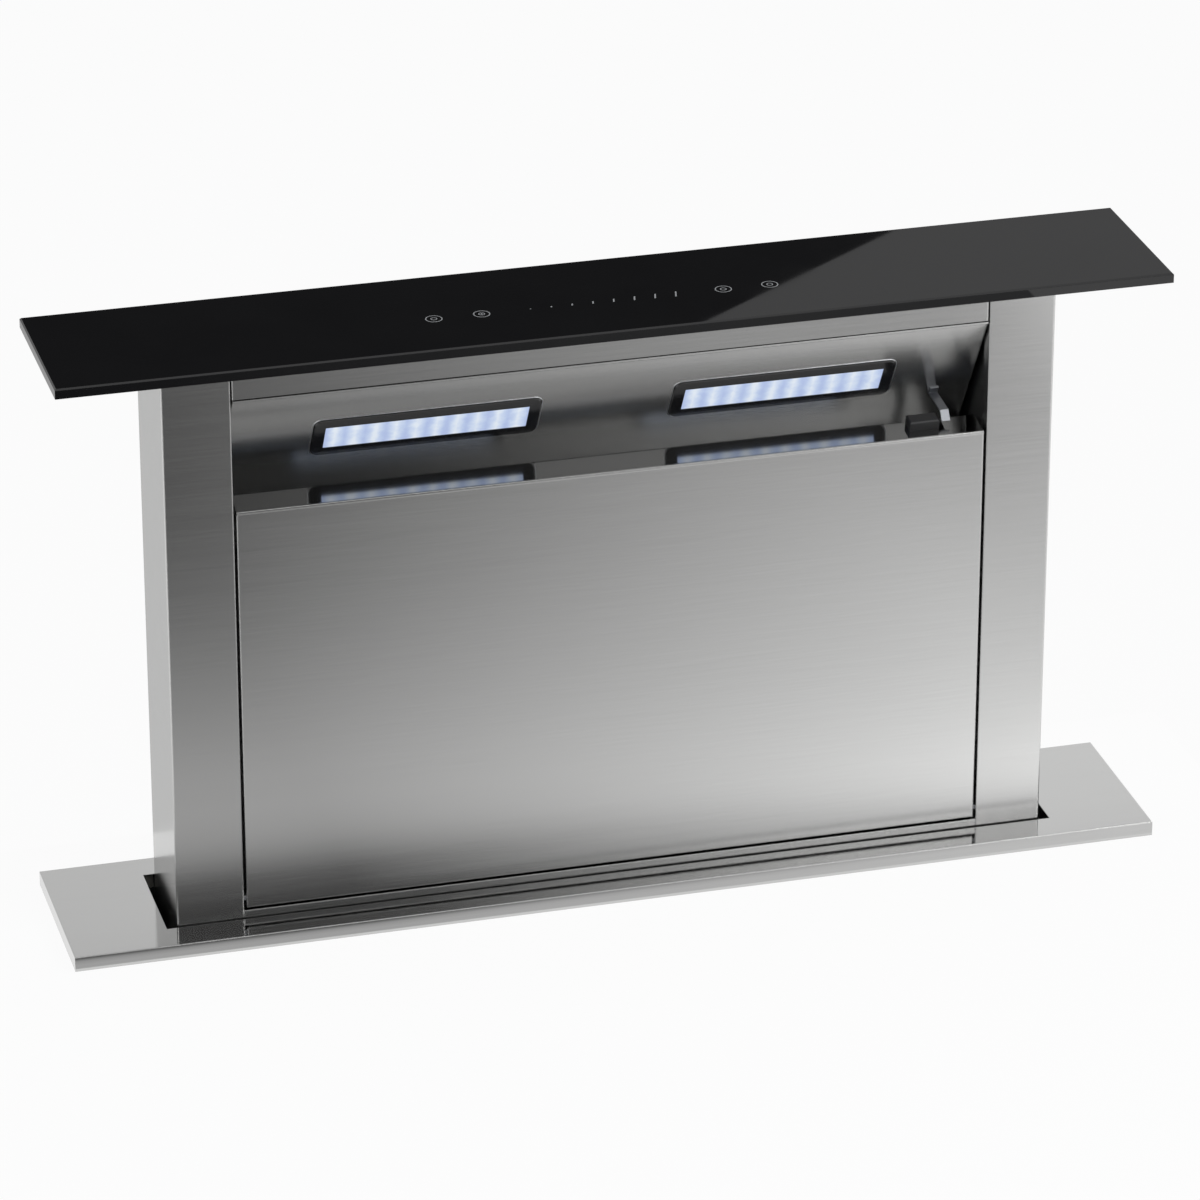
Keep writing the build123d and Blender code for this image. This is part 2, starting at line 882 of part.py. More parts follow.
# ---------------------------------------------------------------- lift
def lead_screw(side):
    """A screw with a collar that runs on the bearing and a shank through the floor to its pulley."""
    collar_bottom = bearing_top + screw_collar_gap
    collar_top = collar_bottom + screw_collar_height
    with BuildPart() as built:
        with BuildSketch(Plane.XY.offset(pulley_bottom)):
            with Locations((side * screw_x, screw_y)):
                Circle(screw_shank_radius)
        extrude(amount=collar_bottom - pulley_bottom)
        with BuildSketch(Plane.XY.offset(collar_bottom)):
            with Locations((side * screw_x, screw_y)):
                Circle(screw_collar_radius)
        extrude(amount=screw_collar_height)
        with BuildSketch(Plane.XY.offset(collar_top)):
            with Locations((side * screw_x, screw_y)):
                Circle(screw_radius)
        extrude(amount=screw_top - collar_top)
        chamfer(built.faces().sort_by(Axis.Z)[-1].edges(), screw_chamfer)
    return built


def belt_pulley(x, y, bore):
    """A toothed pulley on a flange that keeps the belt up, with a bore for its shaft."""
    with BuildPart() as built:
        with BuildSketch(Plane.XY.offset(pulley_bottom)):
            with Locations((x, y)):
                RegularPolygon(pulley_flange_radius, 2 * pulley_teeth)
        extrude(amount=pulley_flange)
        with BuildSketch(Plane.XY.offset(pulley_bottom + pulley_flange)):
            with Locations((x, y)):
                RegularPolygon(pulley_radius, pulley_teeth)
                with PolarLocations(pulley_radius, pulley_teeth, start_angle=180 / pulley_teeth):
                    RegularPolygon(pulley_tooth_gap, 4, mode=Mode.SUBTRACT)
        extrude(amount=pulley_top - pulley_bottom - pulley_flange)
        with BuildSketch(Plane.XY.offset(pulley_bottom)):
            with Locations((x, y)):
                Circle(bore)
        extrude(amount=pulley_top - pulley_bottom, mode=Mode.SUBTRACT)
    return built


for hand, turn in (("left", -1), ("right", 1)):
    save(lead_screw(turn), f"lead_screw_{hand}")
    save(belt_pulley(turn * screw_x, screw_y, screw_shank_radius), f"screw_pulley_{hand}")

with BuildPart() as drive_pulley:
    add(belt_pulley(motor_x, motor_y, output_radius).part)
    with BuildSketch(Plane.XY.offset(pulley_bottom)):
        with Locations((motor_x, motor_y)):
            Circle(output_radius)
    extrude(amount=motor_plate_height + motor_plate + gearbox_height / 2 - pulley_bottom)
save(drive_pulley, "drive_pulley")

with BuildPart() as drive_belt:
    belt_inner = pulley_radius + belt_clearance
    belt_places = [(-screw_x, screw_y), (screw_x, screw_y), (motor_x, motor_y)]
    with BuildSketch(Plane.XY.offset(belt_bottom)):
        with Locations(*belt_places):
            Circle(belt_inner + belt_thickness)
        make_hull()
    extrude(amount=belt_width)
    with BuildSketch(Plane.XY.offset(belt_bottom)):
        with Locations(*belt_places):
            Circle(belt_inner)
        make_hull()
    extrude(amount=belt_width, mode=Mode.SUBTRACT)
save(drive_belt, "drive_belt")

with BuildPart() as bearing_blocks:
    with BuildSketch(Plane.XY.offset(floor_top)) as bearing_base:
        with Locations((-screw_x, screw_y), (screw_x, screw_y)):
            Rectangle(bearing_size, bearing_size)
        chamfer(bearing_base.vertices(), bearing_corner)
    extrude(amount=bearing_height)
    with BuildSketch(Plane.XY.offset(floor_top)):
        with Locations((-screw_x, screw_y), (screw_x, screw_y)):
            Circle(screw_shank_radius + running_clearance)
    extrude(amount=bearing_height, mode=Mode.SUBTRACT)
save(bearing_blocks, "bearing_blocks")

with BuildPart() as lift_nuts:
    nut_bottom = column_foot - 2
    with BuildSketch(Plane.XY.offset(nut_bottom)):
        with Locations((-screw_x, screw_y), (screw_x, screw_y)):
            Circle(nut_radius)
    extrude(amount=nut_length)
    with BuildSketch(Plane.XY.offset(column_foot + foot_plate)):
        with Locations((-screw_x, screw_y), (screw_x, screw_y)):
            RegularPolygon(nut_flange_radius, 6)
    extrude(amount=nut_flange)
    with BuildSketch(Plane.XY.offset(nut_bottom)):
        with Locations((-screw_x, screw_y), (screw_x, screw_y)):
            Circle(screw_radius + running_clearance)
    extrude(amount=nut_length, mode=Mode.SUBTRACT)
save(lift_nuts, "lift_nuts")

with BuildPart() as motor_mount:
    mount_front = motor_y - gearbox_depth / 2 - motor_plate_front_room
    mount_half = gearbox_width / 2 + motor_plate_side_room
    with BuildSketch(Plane.YZ.offset(motor_x - mount_half)):
        with BuildLine():
            Polyline(
                (mount_front, motor_plate_height),
                (housing_front_y, motor_plate_height),
                (housing_front_y, motor_plate_height + motor_plate_upright),
            )
            offset(amount=motor_plate, side=Side.LEFT, kind=Kind.INTERSECTION)
        make_face()
    extrude(amount=2 * mount_half)
    with BuildSketch(Plane.XY.offset(motor_plate_height)):
        with Locations((motor_x, motor_y)):
            Circle(output_radius + motor_plate_bore_room)
    extrude(amount=motor_plate, mode=Mode.SUBTRACT)
save(motor_mount, "motor_mount")

with BuildPart() as lift_motor:
    gearbox_foot = motor_plate_height + motor_plate
    with BuildSketch(Plane.XY.offset(gearbox_foot)) as gearbox:
        with Locations((motor_x, motor_y)):
            Rectangle(gearbox_width, gearbox_depth)
        chamfer(gearbox.vertices(), gearbox_corner)
    extrude(amount=gearbox_height)
    chamfer(lift_motor.faces().sort_by(Axis.Z)[-1].edges(), motor_edge)
    with BuildSketch(Plane.XY.offset(gearbox_foot + gearbox_height)):
        with Locations((motor_x, motor_y)):
            Circle(motor_radius)
    extrude(amount=motor_length)
    chamfer(lift_motor.faces().sort_by(Axis.Z)[-1].edges(), motor_edge)
    with BuildSketch(Plane.XY.offset(gearbox_foot)):
        with Locations((motor_x, motor_y)):
            Circle(output_radius + running_clearance)
    extrude(amount=gearbox_height / 2 + 1, mode=Mode.SUBTRACT)
save(lift_motor, "lift_motor")

with BuildPart() as limit_switches:
    for height in (column_foot + switch_rise_high, column_foot - lift_travel + switch_rise_low):
        with BuildSketch(facing_front(-wall_front)):
            with Locations((switch_x, height)):
                Rectangle(switch_width, switch_height)
        extrude(amount=switch_depth)
        with BuildSketch(facing_front(-wall_front - switch_depth)):
            with Locations((switch_x, height)):
                Rectangle(switch_width * 0.9, switch_height * 0.27)
        extrude(amount=switch_lever)
save(limit_switches, "limit_switches")


# ---------------------------------------------------------------- blower
def scroll_outline(grow):
    """The scroll's outline, grown outwards: four arcs whose centres step round a small square."""
    step = scroll_step
    radii = [scroll_first_radius + grow + 2 * step * i for i in range(4)]
    left, right = blower_x - step, blower_x + step
    low, high = blower_z - step, blower_z + step
    inner_x = throat_x - grow
    tongue = degrees(acos((inner_x - left) / radii[0]))
    outer_x = right + radii[3]
    with BuildSketch() as outline:
        with BuildLine():
            Line((inner_x, outlet_z), (inner_x, low - radii[0] * sin(radians(tongue))))
            CenterArc((left, low), radii[0], -tongue, tongue - 90)
            CenterArc((left, high), radii[1], -90, -90)
            CenterArc((right, high), radii[2], 180, -90)
            CenterArc((right, low), radii[3], 90, -90)
            Line((outer_x, low), (outer_x, outlet_z))
            Line((outer_x, outlet_z), (inner_x, outlet_z))
        make_face()
    return outline.sketch


def scroll_lugs():
    """Where the scroll's cover is screwed on, as (x, z) just outside its wall."""
    reach = 5.0
    high = scroll_first_radius + 4 * scroll_step + reach
    left = scroll_first_radius + 2 * scroll_step + reach
    return [
        (blower_x + scroll_step, blower_z + scroll_step + high),
        (blower_x - scroll_step - left, blower_z + scroll_step),
        (blower_x - scroll_step, blower_z - scroll_step - scroll_first_radius - reach),
        (outlet_x + reach, blower_z - scroll_step),
    ]


lug_radius = 7.0
with BuildPart() as blower_scroll:
    with BuildSketch(facing_front(housing_front_y)):
        add(scroll_outline(scroll_wall))
        with Locations(*scroll_lugs()):
            Circle(lug_radius)
    extrude(amount=scroll_depth)
    with BuildSketch(facing_front(housing_front_y - scroll_wall)):
        add(scroll_outline(0))
    extrude(amount=scroll_depth - scroll_wall, mode=Mode.SUBTRACT)
    with BuildSketch(facing_front(housing_front_y)):
        with Locations((blower_x, blower_z)):
            Circle(inlet_hole_radius)
    extrude(amount=scroll_wall, mode=Mode.SUBTRACT)
    with BuildSketch(facing_front(scroll_front)):
        with Locations(*scroll_lugs()):
            RegularPolygon(screw_hole_radius, screw_sides)
    extrude(amount=-fastener_length, mode=Mode.SUBTRACT)
    flange_x = outlet_x - throat_x + 2 * (scroll_wall + outlet_flange)
    flange_depth = scroll_depth + scroll_wall + outlet_flange
    flange_centre_y = housing_front_y - flange_depth / 2
    with BuildSketch(Plane.XY.offset(outlet_z)):
        with Locations((spigot_x, flange_centre_y)):
            Rectangle(flange_x, flange_depth)
        with Locations((spigot_x, housing_front_y - scroll_wall - scroll_depth / 2)):
            Rectangle(outlet_x - throat_x + 2 * scroll_wall, scroll_depth, mode=Mode.SUBTRACT)
    extrude(amount=outlet_flange_thickness)
save(blower_scroll, "blower_scroll")

# an inlet ring seated on the housing's inner face, reaching into the impeller's eye
with BuildPart() as inlet_ring:
    ring_sheet = scroll_wall / 2
    with BuildSketch(Plane(origin=(blower_x, 0, blower_z), x_dir=(1, 0, 0), z_dir=(0, 0, 1))):
        with BuildLine():
            Polyline(
                (inlet_hole_radius + inlet_seat, wall_front),
                (inlet_radius + inlet_curl, wall_front),
                (inlet_radius, wall_front - inlet_reach),
            )
            offset(amount=ring_sheet, side=Side.RIGHT, kind=Kind.INTERSECTION)
        make_face()
    revolve(axis=Axis((blower_x, 0, blower_z), (0, 1, 0)))
save(inlet_ring, "inlet_ring")

with BuildPart() as scroll_cover:
    with BuildSketch(facing_front(scroll_front)):
        add(scroll_outline(scroll_wall))
        with Locations(*scroll_lugs()):
            Circle(lug_radius)
        with Locations((blower_x, blower_z)):
            Circle(boss_radius, mode=Mode.SUBTRACT)
        with Locations(*scroll_lugs()):
            RegularPolygon(screw_hole_radius, screw_sides, mode=Mode.SUBTRACT)
    extrude(amount=scroll_wall)
save(scroll_cover, "scroll_cover")

with BuildPart() as blower_motor:
    with BuildSketch(facing_front(cover_front)):
        with Locations((blower_x, blower_z)):
            Circle(blower_motor_radius)
    extrude(amount=blower_motor_length)
    chamfer(blower_motor.faces().sort_by(Axis.Y)[0].edges(), blower_motor_chamfer)
    with BuildSketch(facing_front(cover_front - blower_motor_land)):
        with Locations((blower_x, blower_z)):
            with PolarLocations(blower_motor_radius, blower_motor_fins):
                Rectangle(blower_motor_slot_depth, 2 * blower_motor_slot_width)
    extrude(amount=blower_motor_length - 2 * blower_motor_land, mode=Mode.SUBTRACT)
    with BuildSketch(facing_front(scroll_front)):
        with Locations((blower_x, blower_z)):
            Circle(boss_radius)
    extrude(amount=scroll_wall)
    with BuildSketch(facing_front(scroll_front)):
        with Locations((blower_x, blower_z)):
            Circle(fan_shaft_radius + running_clearance)
    extrude(amount=blower_motor_length / 2, mode=Mode.SUBTRACT)
save(blower_motor, "blower_motor")

# forward-curved blades between a back plate and a ring, open in the middle
with BuildPart() as impeller:
    plate = 1.5
    ring = 2.0
    with BuildSketch(facing_front(impeller_back + plate)):
        with Locations((blower_x, blower_z)):
            RegularPolygon(impeller_radius, impeller_flats)
    extrude(amount=plate)
    with BuildSketch(facing_front(impeller_front)):
        with Locations((blower_x, blower_z)):
            RegularPolygon(impeller_radius, impeller_flats)
            RegularPolygon(impeller_eye_radius, impeller_flats, mode=Mode.SUBTRACT)
    extrude(amount=ring)
    with BuildSketch(facing_front(impeller_front - ring)):
        blade_middle = (impeller_radius + impeller_eye_radius + 1) / 2
        blade_chord = impeller_radius - impeller_eye_radius - 2
        with Locations((blower_x, blower_z)):
            with PolarLocations(blade_middle, impeller_blades):
                Rectangle(blade_chord, impeller_blade, rotation=blade_angle)
    extrude(amount=impeller_front - ring - impeller_back - plate)
    with BuildSketch(facing_front(impeller_back + plate + hub_length)):
        with Locations((blower_x, blower_z)):
            Circle(hub_radius)
    extrude(amount=hub_length)
    with BuildSketch(facing_front(impeller_front)):
        with Locations((blower_x, blower_z)):
            Circle(fan_shaft_radius)
    extrude(amount=impeller_front - impeller_back, mode=Mode.SUBTRACT)
save(impeller, "impeller")

with BuildPart() as fan_shaft:
    shaft_front = impeller_back + plate + fan_shaft_reach
    with BuildSketch(facing_front(shaft_front)):
        with Locations((blower_x, blower_z)):
            Circle(fan_shaft_radius)
    extrude(amount=shaft_front - scroll_front + blower_motor_length / 2 - 2)
    chamfer(fan_shaft.faces().sort_by(Axis.Y)[-1].edges(), fan_shaft_chamfer)
save(fan_shaft, "fan_shaft")

# a tapered box under the scroll's outlet, with the spigot's round bore in its floor
throat_width = outlet_x - throat_x
throat_depth = scroll_depth - scroll_wall
throat_centre_y = housing_front_y - scroll_wall - throat_depth / 2
adapter_foot_width = 2 * (spigot_radius + spigot_rim)


def adapter_taper(grow, foot):
    """The adapter's tapered body, grown outwards, from a square foot up to its mouth."""
    width = adapter_foot_width + 2 * grow
    corner = Vector(spigot_x - width / 2, spigot_y + width / 2, foot)
    left = spigot_x - throat_width / 2 - grow - corner.X
    back = corner.Y - (throat_centre_y + throat_depth / 2 + grow)
    with BuildPart() as built:
        with Locations(Plane(origin=corner, x_dir=(1, 0, 0), z_dir=(0, -1, 0))):
            Wedge(
                width,
                adapter_top - foot,
                width,
                left,
                back,
                left + throat_width + 2 * grow,
                back + throat_depth + 2 * grow,
                align=None,
            )
    return built.part


with BuildPart() as outlet_adapter:
    add(adapter_taper(scroll_wall, spigot_top))
    add(adapter_taper(0, spigot_top + scroll_wall), mode=Mode.SUBTRACT)
    with BuildSketch(Plane.XY.offset(adapter_top)):
        with Locations((spigot_x, flange_centre_y)):
            Rectangle(flange_x, flange_depth)
        with Locations((spigot_x, throat_centre_y)):
            Rectangle(throat_width, throat_depth, mode=Mode.SUBTRACT)
    extrude(amount=outlet_flange_thickness)
    with BuildSketch(Plane.XY.offset(spigot_top)):
        with Locations((spigot_x, spigot_y)):
            Circle(spigot_radius - spigot_wall)
    extrude(amount=scroll_wall, mode=Mode.SUBTRACT)
save(outlet_adapter, "outlet_adapter")

with BuildPart() as duct_spigot:
    with BuildSketch(Plane.XY.offset(spigot_bottom)):
        with Locations((spigot_x, spigot_y)):
            Circle(spigot_radius)
    extrude(amount=spigot_length)
    with BuildSketch(Plane.XY.offset(spigot_top - spigot_wall)):
        with Locations((spigot_x, spigot_y)):
            Circle(spigot_radius + spigot_rim)
    extrude(amount=spigot_wall)
    with BuildSketch(Plane.XY.offset(spigot_bottom)):
        with Locations((spigot_x, spigot_y)):
            Circle(spigot_radius - spigot_wall)
    extrude(amount=spigot_length, mode=Mode.SUBTRACT)
    with BuildSketch(facing_front(spigot_y + spigot_radius)):
        with Locations((spigot_x, spindle_z)):
            Rectangle(2 * spindle_radius, 2 * spindle_radius)
    extrude(amount=2 * spigot_radius, mode=Mode.SUBTRACT)
save(duct_spigot, "duct_spigot")

with BuildPart() as damper_spindle:
    with BuildSketch(facing_front(spigot_y + spigot_radius - 0.2)):
        with Locations((spigot_x, spindle_z)):
            Circle(spindle_radius)
    extrude(amount=2 * spigot_radius - 0.4)
save(damper_spindle, "damper_spindle")


def damper_flap(side):
    """Half of the backdraft damper. Its knuckles take turns with the other half's along the spindle."""
    bore_radius = spigot_radius - spigot_wall - flap_gap
    count = int(2 * bore_radius / knuckle_length)
    gap = 0.3
    start = spigot_y - count * knuckle_length / 2
    own = [i for i in range(count) if (i % 2 == 0) == (side < 0)]
    middles = [start + (i + 0.5) * knuckle_length for i in own]
    clear = knuckle_radius + 1.0
    with BuildPart() as built:
        with BuildSketch(Plane.XY.offset(spindle_z - flap_thickness / 2)):
            with Locations((spigot_x, spigot_y)):
                Circle(bore_radius)
            with Locations((spigot_x - side * (bore_radius - clear), spigot_y)):
                Rectangle(2 * bore_radius, 2 * bore_radius + 2, mode=Mode.SUBTRACT)
            with Locations(*[(spigot_x + side * clear / 2, y) for y in middles]):
                Rectangle(clear, knuckle_length - gap)
        extrude(amount=flap_thickness)
        for y in middles:
            with BuildSketch(facing_front(y + (knuckle_length - gap) / 2)):
                with Locations((spigot_x, spindle_z)):
                    Circle(knuckle_radius)
            extrude(amount=knuckle_length - gap)
        with BuildSketch(facing_front(spigot_y + spigot_radius)):
            with Locations((spigot_x, spindle_z)):
                Circle(spindle_radius + running_clearance)
        extrude(amount=2 * spigot_radius, mode=Mode.SUBTRACT)
    return built


save(damper_flap(-1), "damper_flap_left")
save(damper_flap(1), "damper_flap_right")


# ---------------------------------------------------------------- control box
box_right = box_left + box_width
box_bottom = box_top - box_height
box_middle = ((box_left + box_right) / 2, (box_top + box_bottom) / 2)
box_front = housing_front_y - box_depth
gland_x = box_left + gland_inset
gland_y = housing_front_y - box_depth / 2
cover_screw_points = [
    (
        box_middle[0] + sx * (box_width / 2 - box_screw_inset),
        box_middle[1] + sz * (box_height / 2 - box_screw_inset),
    )
    for sx in (-1, 1)
    for sz in (-1, 1)
]

with BuildPart() as control_box:
    with BuildSketch(facing_front(housing_front_y)):
        with Locations(box_middle):
            Rectangle(box_width, box_height)
    extrude(amount=box_depth)
    with BuildSketch(facing_front(housing_front_y - box_sheet)):
        with Locations(box_middle):
            Rectangle(box_width - 2 * box_sheet, box_height - 2 * box_sheet)
    extrude(amount=box_depth - box_sheet, mode=Mode.SUBTRACT)
    with BuildSketch(facing_front(box_front + fastener_length + 2)):
        with Locations(*cover_screw_points):
            Rectangle(*[2 * (box_screw_inset - box_sheet)] * 2)
    extrude(amount=fastener_length + 2)
    with BuildSketch(facing_front(box_front + fastener_length)):
        with Locations(*cover_screw_points):
            RegularPolygon(screw_hole_radius, screw_sides)
    extrude(amount=fastener_length, mode=Mode.SUBTRACT)
    with BuildSketch(Plane.XY.offset(box_bottom)):
        with Locations((gland_x, gland_y)):
            Circle(gland_neck_radius)
    extrude(amount=box_sheet, mode=Mode.SUBTRACT)
save(control_box, "control_box")

with BuildPart() as control_cover:
    with BuildSketch(facing_front(box_front)):
        with Locations(box_middle):
            Rectangle(box_width, box_height)
        with Locations(*cover_screw_points):
            RegularPolygon(screw_hole_radius, screw_sides, mode=Mode.SUBTRACT)
    extrude(amount=box_sheet)
save(control_cover, "control_cover")

with BuildPart() as control_board:
    board_back = housing_front_y - box_sheet - standoff_height
    board_x = box_middle[0] + board_shift_x
    board_z = box_middle[1] + board_shift_z
    board_width = box_width - 2 * board_side_room
    board_height = box_height - 2 * board_end_room
    with BuildSketch(facing_front(board_back)):
        with Locations((board_x, board_z)):
            Rectangle(board_width, board_height)
    extrude(amount=board_thickness)
    with BuildSketch(facing_front(housing_front_y - box_sheet)):
        with Locations((board_x, board_z)):
            with GridLocations(board_width - 2 * standoff_inset, board_height - 2 * standoff_inset, 2, 2):
                RegularPolygon(standoff_radius, 6)
    extrude(amount=standoff_height)
    with BuildSketch(facing_front(board_back - board_thickness)):
        with Locations((board_x - board_width / 4, board_z + board_height / 4)):
            Rectangle(transformer_width, transformer_height)
        with Locations((board_x + board_width / 4, board_z + board_height / 4)):
            Rectangle(relay_width, relay_height)
    extrude(amount=transformer_depth)
    with BuildSketch(facing_front(board_back - board_thickness)):
        with Locations((board_x, board_z - board_height / 2 + terminal_height)):
            with GridLocations(terminal_pitch, 1, terminal_count, 1):
                Rectangle(terminal_pitch - 2, terminal_height)
    extrude(amount=terminal_depth)
save(control_board, "control_board")

with BuildPart() as cable_gland:
    with BuildSketch(Plane.XY.offset(box_bottom - gland_length)):
        with Locations((gland_x, gland_y)):
            RegularPolygon(gland_radius, 6, major_radius=False)
    extrude(amount=gland_length)
    with BuildSketch(Plane.XY.offset(box_bottom)):
        with Locations((gland_x, gland_y)):
            Circle(gland_neck_radius)
    extrude(amount=box_sheet + gland_thread)
    with BuildSketch(Plane.XY.offset(box_bottom + box_sheet)):
        with Locations((gland_x, gland_y)):
            RegularPolygon(gland_radius, 6, major_radius=False)
    extrude(amount=gland_nut)
    with BuildSketch(Plane.XY.offset(box_bottom - gland_length)):
        with Locations((gland_x, gland_y)):
            Circle(gland_bore)
    extrude(amount=gland_length + box_sheet + gland_thread, mode=Mode.SUBTRACT)
save(cable_gland, "cable_gland")


# ---------------------------------------------------------------- brackets and small screws
clamp_places = [(-clamp_near_x, -1), (clamp_far_x, -1), (-clamp_far_x, 1), (clamp_far_x, 1)]
clamp_pad_top = -worktop_thickness

with BuildPart() as worktop_clamps:
    for x, turn in clamp_places:
        wall = turn * housing_back_y
        tip = wall + turn * clamp_reach
        with BuildSketch(Plane.YZ.offset(x - clamp_width / 2)):
            with BuildLine():
                Polyline((wall, clamp_height + clamp_upright), (wall, clamp_height), (tip, clamp_height))
                offset(
                    amount=clamp_sheet,
                    side=Side.LEFT if turn > 0 else Side.RIGHT,
                    kind=Kind.INTERSECTION,
                )
            make_face()
        extrude(amount=clamp_width)
        with BuildSketch(Plane.XY.offset(clamp_height)):
            with Locations((x, wall + turn * clamp_screw_reach)):
                Circle(clamp_screw_radius)
        extrude(amount=clamp_sheet, mode=Mode.SUBTRACT)
save(worktop_clamps, "worktop_clamps")

with BuildPart() as clamp_screws:
    for x, turn in clamp_places:
        place = (x, turn * (housing_back_y + clamp_screw_reach))
        with BuildSketch(Plane.XY.offset(clamp_height - clamp_screw_drop)):
            with Locations(place):
                Circle(clamp_screw_radius)
        extrude(amount=clamp_pad_top - clamp_height + clamp_screw_drop)
        with BuildSketch(Plane.XY.offset(clamp_pad_top - clamp_pad)):
            with Locations(place):
                RegularPolygon(clamp_pad_radius, 12)
        extrude(amount=clamp_pad)
save(clamp_screws, "clamp_screws")

with BuildPart() as cabinet_brackets:
    for side in (-1, 1):
        wall = side * housing_side_x
        with BuildSketch(facing_front(fixing_width / 2)):
            with BuildLine():
                Polyline(
                    (wall, fixing_height + fixing_upright),
                    (wall, fixing_height),
                    (wall + side * fixing_reach, fixing_height),
                )
                offset(
                    amount=clamp_sheet,
                    side=Side.LEFT if side > 0 else Side.RIGHT,
                    kind=Kind.INTERSECTION,
                )
            make_face()
        extrude(amount=fixing_width)
        with BuildSketch(Plane.XY.offset(fixing_height)):
            with Locations((wall + side * fixing_hole_reach, 0)):
                with GridLocations(1, fixing_hole_spacing, 1, 2):
                    Circle(fixing_hole_radius)
        extrude(amount=clamp_sheet, mode=Mode.SUBTRACT)
save(cabinet_brackets, "cabinet_brackets")

with BuildPart() as body_screws:
    for face, turn in ((housing_front_y, 1), (housing_back_y, -1)):
        with BuildSketch(facing_front(face)):
            with Locations(*wall_screw_points()):
                RegularPolygon(fastener_head_radius, screw_sides)
        extrude(amount=turn * fastener_head)
        with BuildSketch(facing_front(face)):
            with Locations(*wall_screw_points()):
                RegularPolygon(fastener_radius, screw_sides)
        extrude(amount=-turn * fastener_length)
    for face, places in ((cover_front, scroll_lugs()), (box_front - box_sheet, cover_screw_points)):
        with BuildSketch(facing_front(face)):
            with Locations(*places):
                RegularPolygon(fastener_head_radius, screw_sides)
        extrude(amount=fastener_head)
        with BuildSketch(facing_front(face)):
            with Locations(*places):
                RegularPolygon(fastener_radius, screw_sides)
        extrude(amount=-fastener_length)
save(body_screws, "body_screws")
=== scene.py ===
import math

import bmesh
import bpy
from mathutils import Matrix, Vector
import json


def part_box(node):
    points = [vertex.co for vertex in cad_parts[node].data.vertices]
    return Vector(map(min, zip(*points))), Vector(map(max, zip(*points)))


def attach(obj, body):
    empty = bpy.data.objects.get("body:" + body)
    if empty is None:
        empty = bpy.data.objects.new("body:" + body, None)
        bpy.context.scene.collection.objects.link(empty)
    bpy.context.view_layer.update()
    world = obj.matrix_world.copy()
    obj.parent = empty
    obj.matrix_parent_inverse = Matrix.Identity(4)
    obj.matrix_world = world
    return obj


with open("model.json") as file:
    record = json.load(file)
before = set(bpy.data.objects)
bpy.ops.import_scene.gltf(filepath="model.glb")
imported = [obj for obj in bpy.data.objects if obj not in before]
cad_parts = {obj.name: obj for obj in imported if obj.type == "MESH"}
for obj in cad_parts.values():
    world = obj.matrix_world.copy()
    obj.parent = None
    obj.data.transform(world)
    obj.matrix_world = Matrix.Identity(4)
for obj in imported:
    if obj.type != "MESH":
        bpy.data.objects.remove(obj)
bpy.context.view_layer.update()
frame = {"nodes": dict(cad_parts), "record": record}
nodes = frame["nodes"]
scene = bpy.context.scene
scene.view_settings.view_transform = "Standard"

# ---------------------------------------------------------------- camera
photo_width = 1200.0
focal_pixels = 6132.0
camera_distance = 4.797
camera_yaw = math.radians(15.22)
camera_pitch = math.radians(25.0)
camera_target = Vector((-0.0018, -0.0055, 0.2316))

camera_data = bpy.data.cameras.new("camera")
camera_data.sensor_width = 36.0
camera_data.lens = camera_data.sensor_width * focal_pixels / photo_width
camera_data.clip_start = 0.1
camera_data.clip_end = 60.0
camera = bpy.data.objects.new("camera", camera_data)
scene.collection.objects.link(camera)
scene.camera = camera
forward = Vector(
    (
        math.sin(camera_yaw) * math.cos(camera_pitch),
        math.cos(camera_yaw) * math.cos(camera_pitch),
        -math.sin(camera_pitch),
    )
)
camera.location = camera_target - forward * camera_distance
camera.rotation_euler = forward.to_track_quat("-Z", "Y").to_euler()


# ---------------------------------------------------------------- node helpers
# most of a noise's values lie between these two
noise_low, noise_high = 0.3, 0.7
bevel_samples = 4


def empty_material(name):
    """A material that has only its output."""
    material = bpy.data.materials.new(name)
    material.use_nodes = True
    tree = material.node_tree
    tree.nodes.clear()
    output = tree.nodes.new("ShaderNodeOutputMaterial")
    return material, tree, output


def new_material(name):
    """A material with a principled shader on its surface."""
    material, tree, output = empty_material(name)
    shader = tree.nodes.new("ShaderNodeBsdfPrincipled")
    tree.links.new(shader.outputs["BSDF"], output.inputs["Surface"])
    return material, tree, shader


def position(tree, scale=(1, 1, 1)):
    """The place on the object, in metres, scaled along each axis."""
    coordinates = tree.nodes.new("ShaderNodeTexCoord")
    mapping = tree.nodes.new("ShaderNodeMapping")
    mapping.inputs["Scale"].default_value = scale
    tree.links.new(coordinates.outputs["Object"], mapping.inputs["Vector"])
    return mapping.outputs["Vector"]


def noise(tree, vector, scale=1.0, detail=3.0, roughness=0.55):
    node = tree.nodes.new("ShaderNodeTexNoise")
    node.inputs["Scale"].default_value = scale
    node.inputs["Detail"].default_value = detail
    node.inputs["Roughness"].default_value = roughness
    tree.links.new(vector, node.inputs["Vector"])
    return node.outputs["Fac"]


def ramp(tree, value, stops):
    """A colour that changes with the value, from stop to stop."""
    node = tree.nodes.new("ShaderNodeValToRGB")
    first, last = node.color_ramp.elements
    first.position, first.color = stops[0][0], (*stops[0][1], 1)
    last.position, last.color = stops[-1][0], (*stops[-1][1], 1)
    for place, colour in stops[1:-1]:
        element = node.color_ramp.elements.new(place)
        element.color = (*colour, 1)
    tree.links.new(value, node.inputs["Fac"])
    return node.outputs["Color"]


def greys(levels):
    """Stops of a ramp from pairs of a place and a grey level."""
    return [(place, (level, level, level)) for place, level in levels]


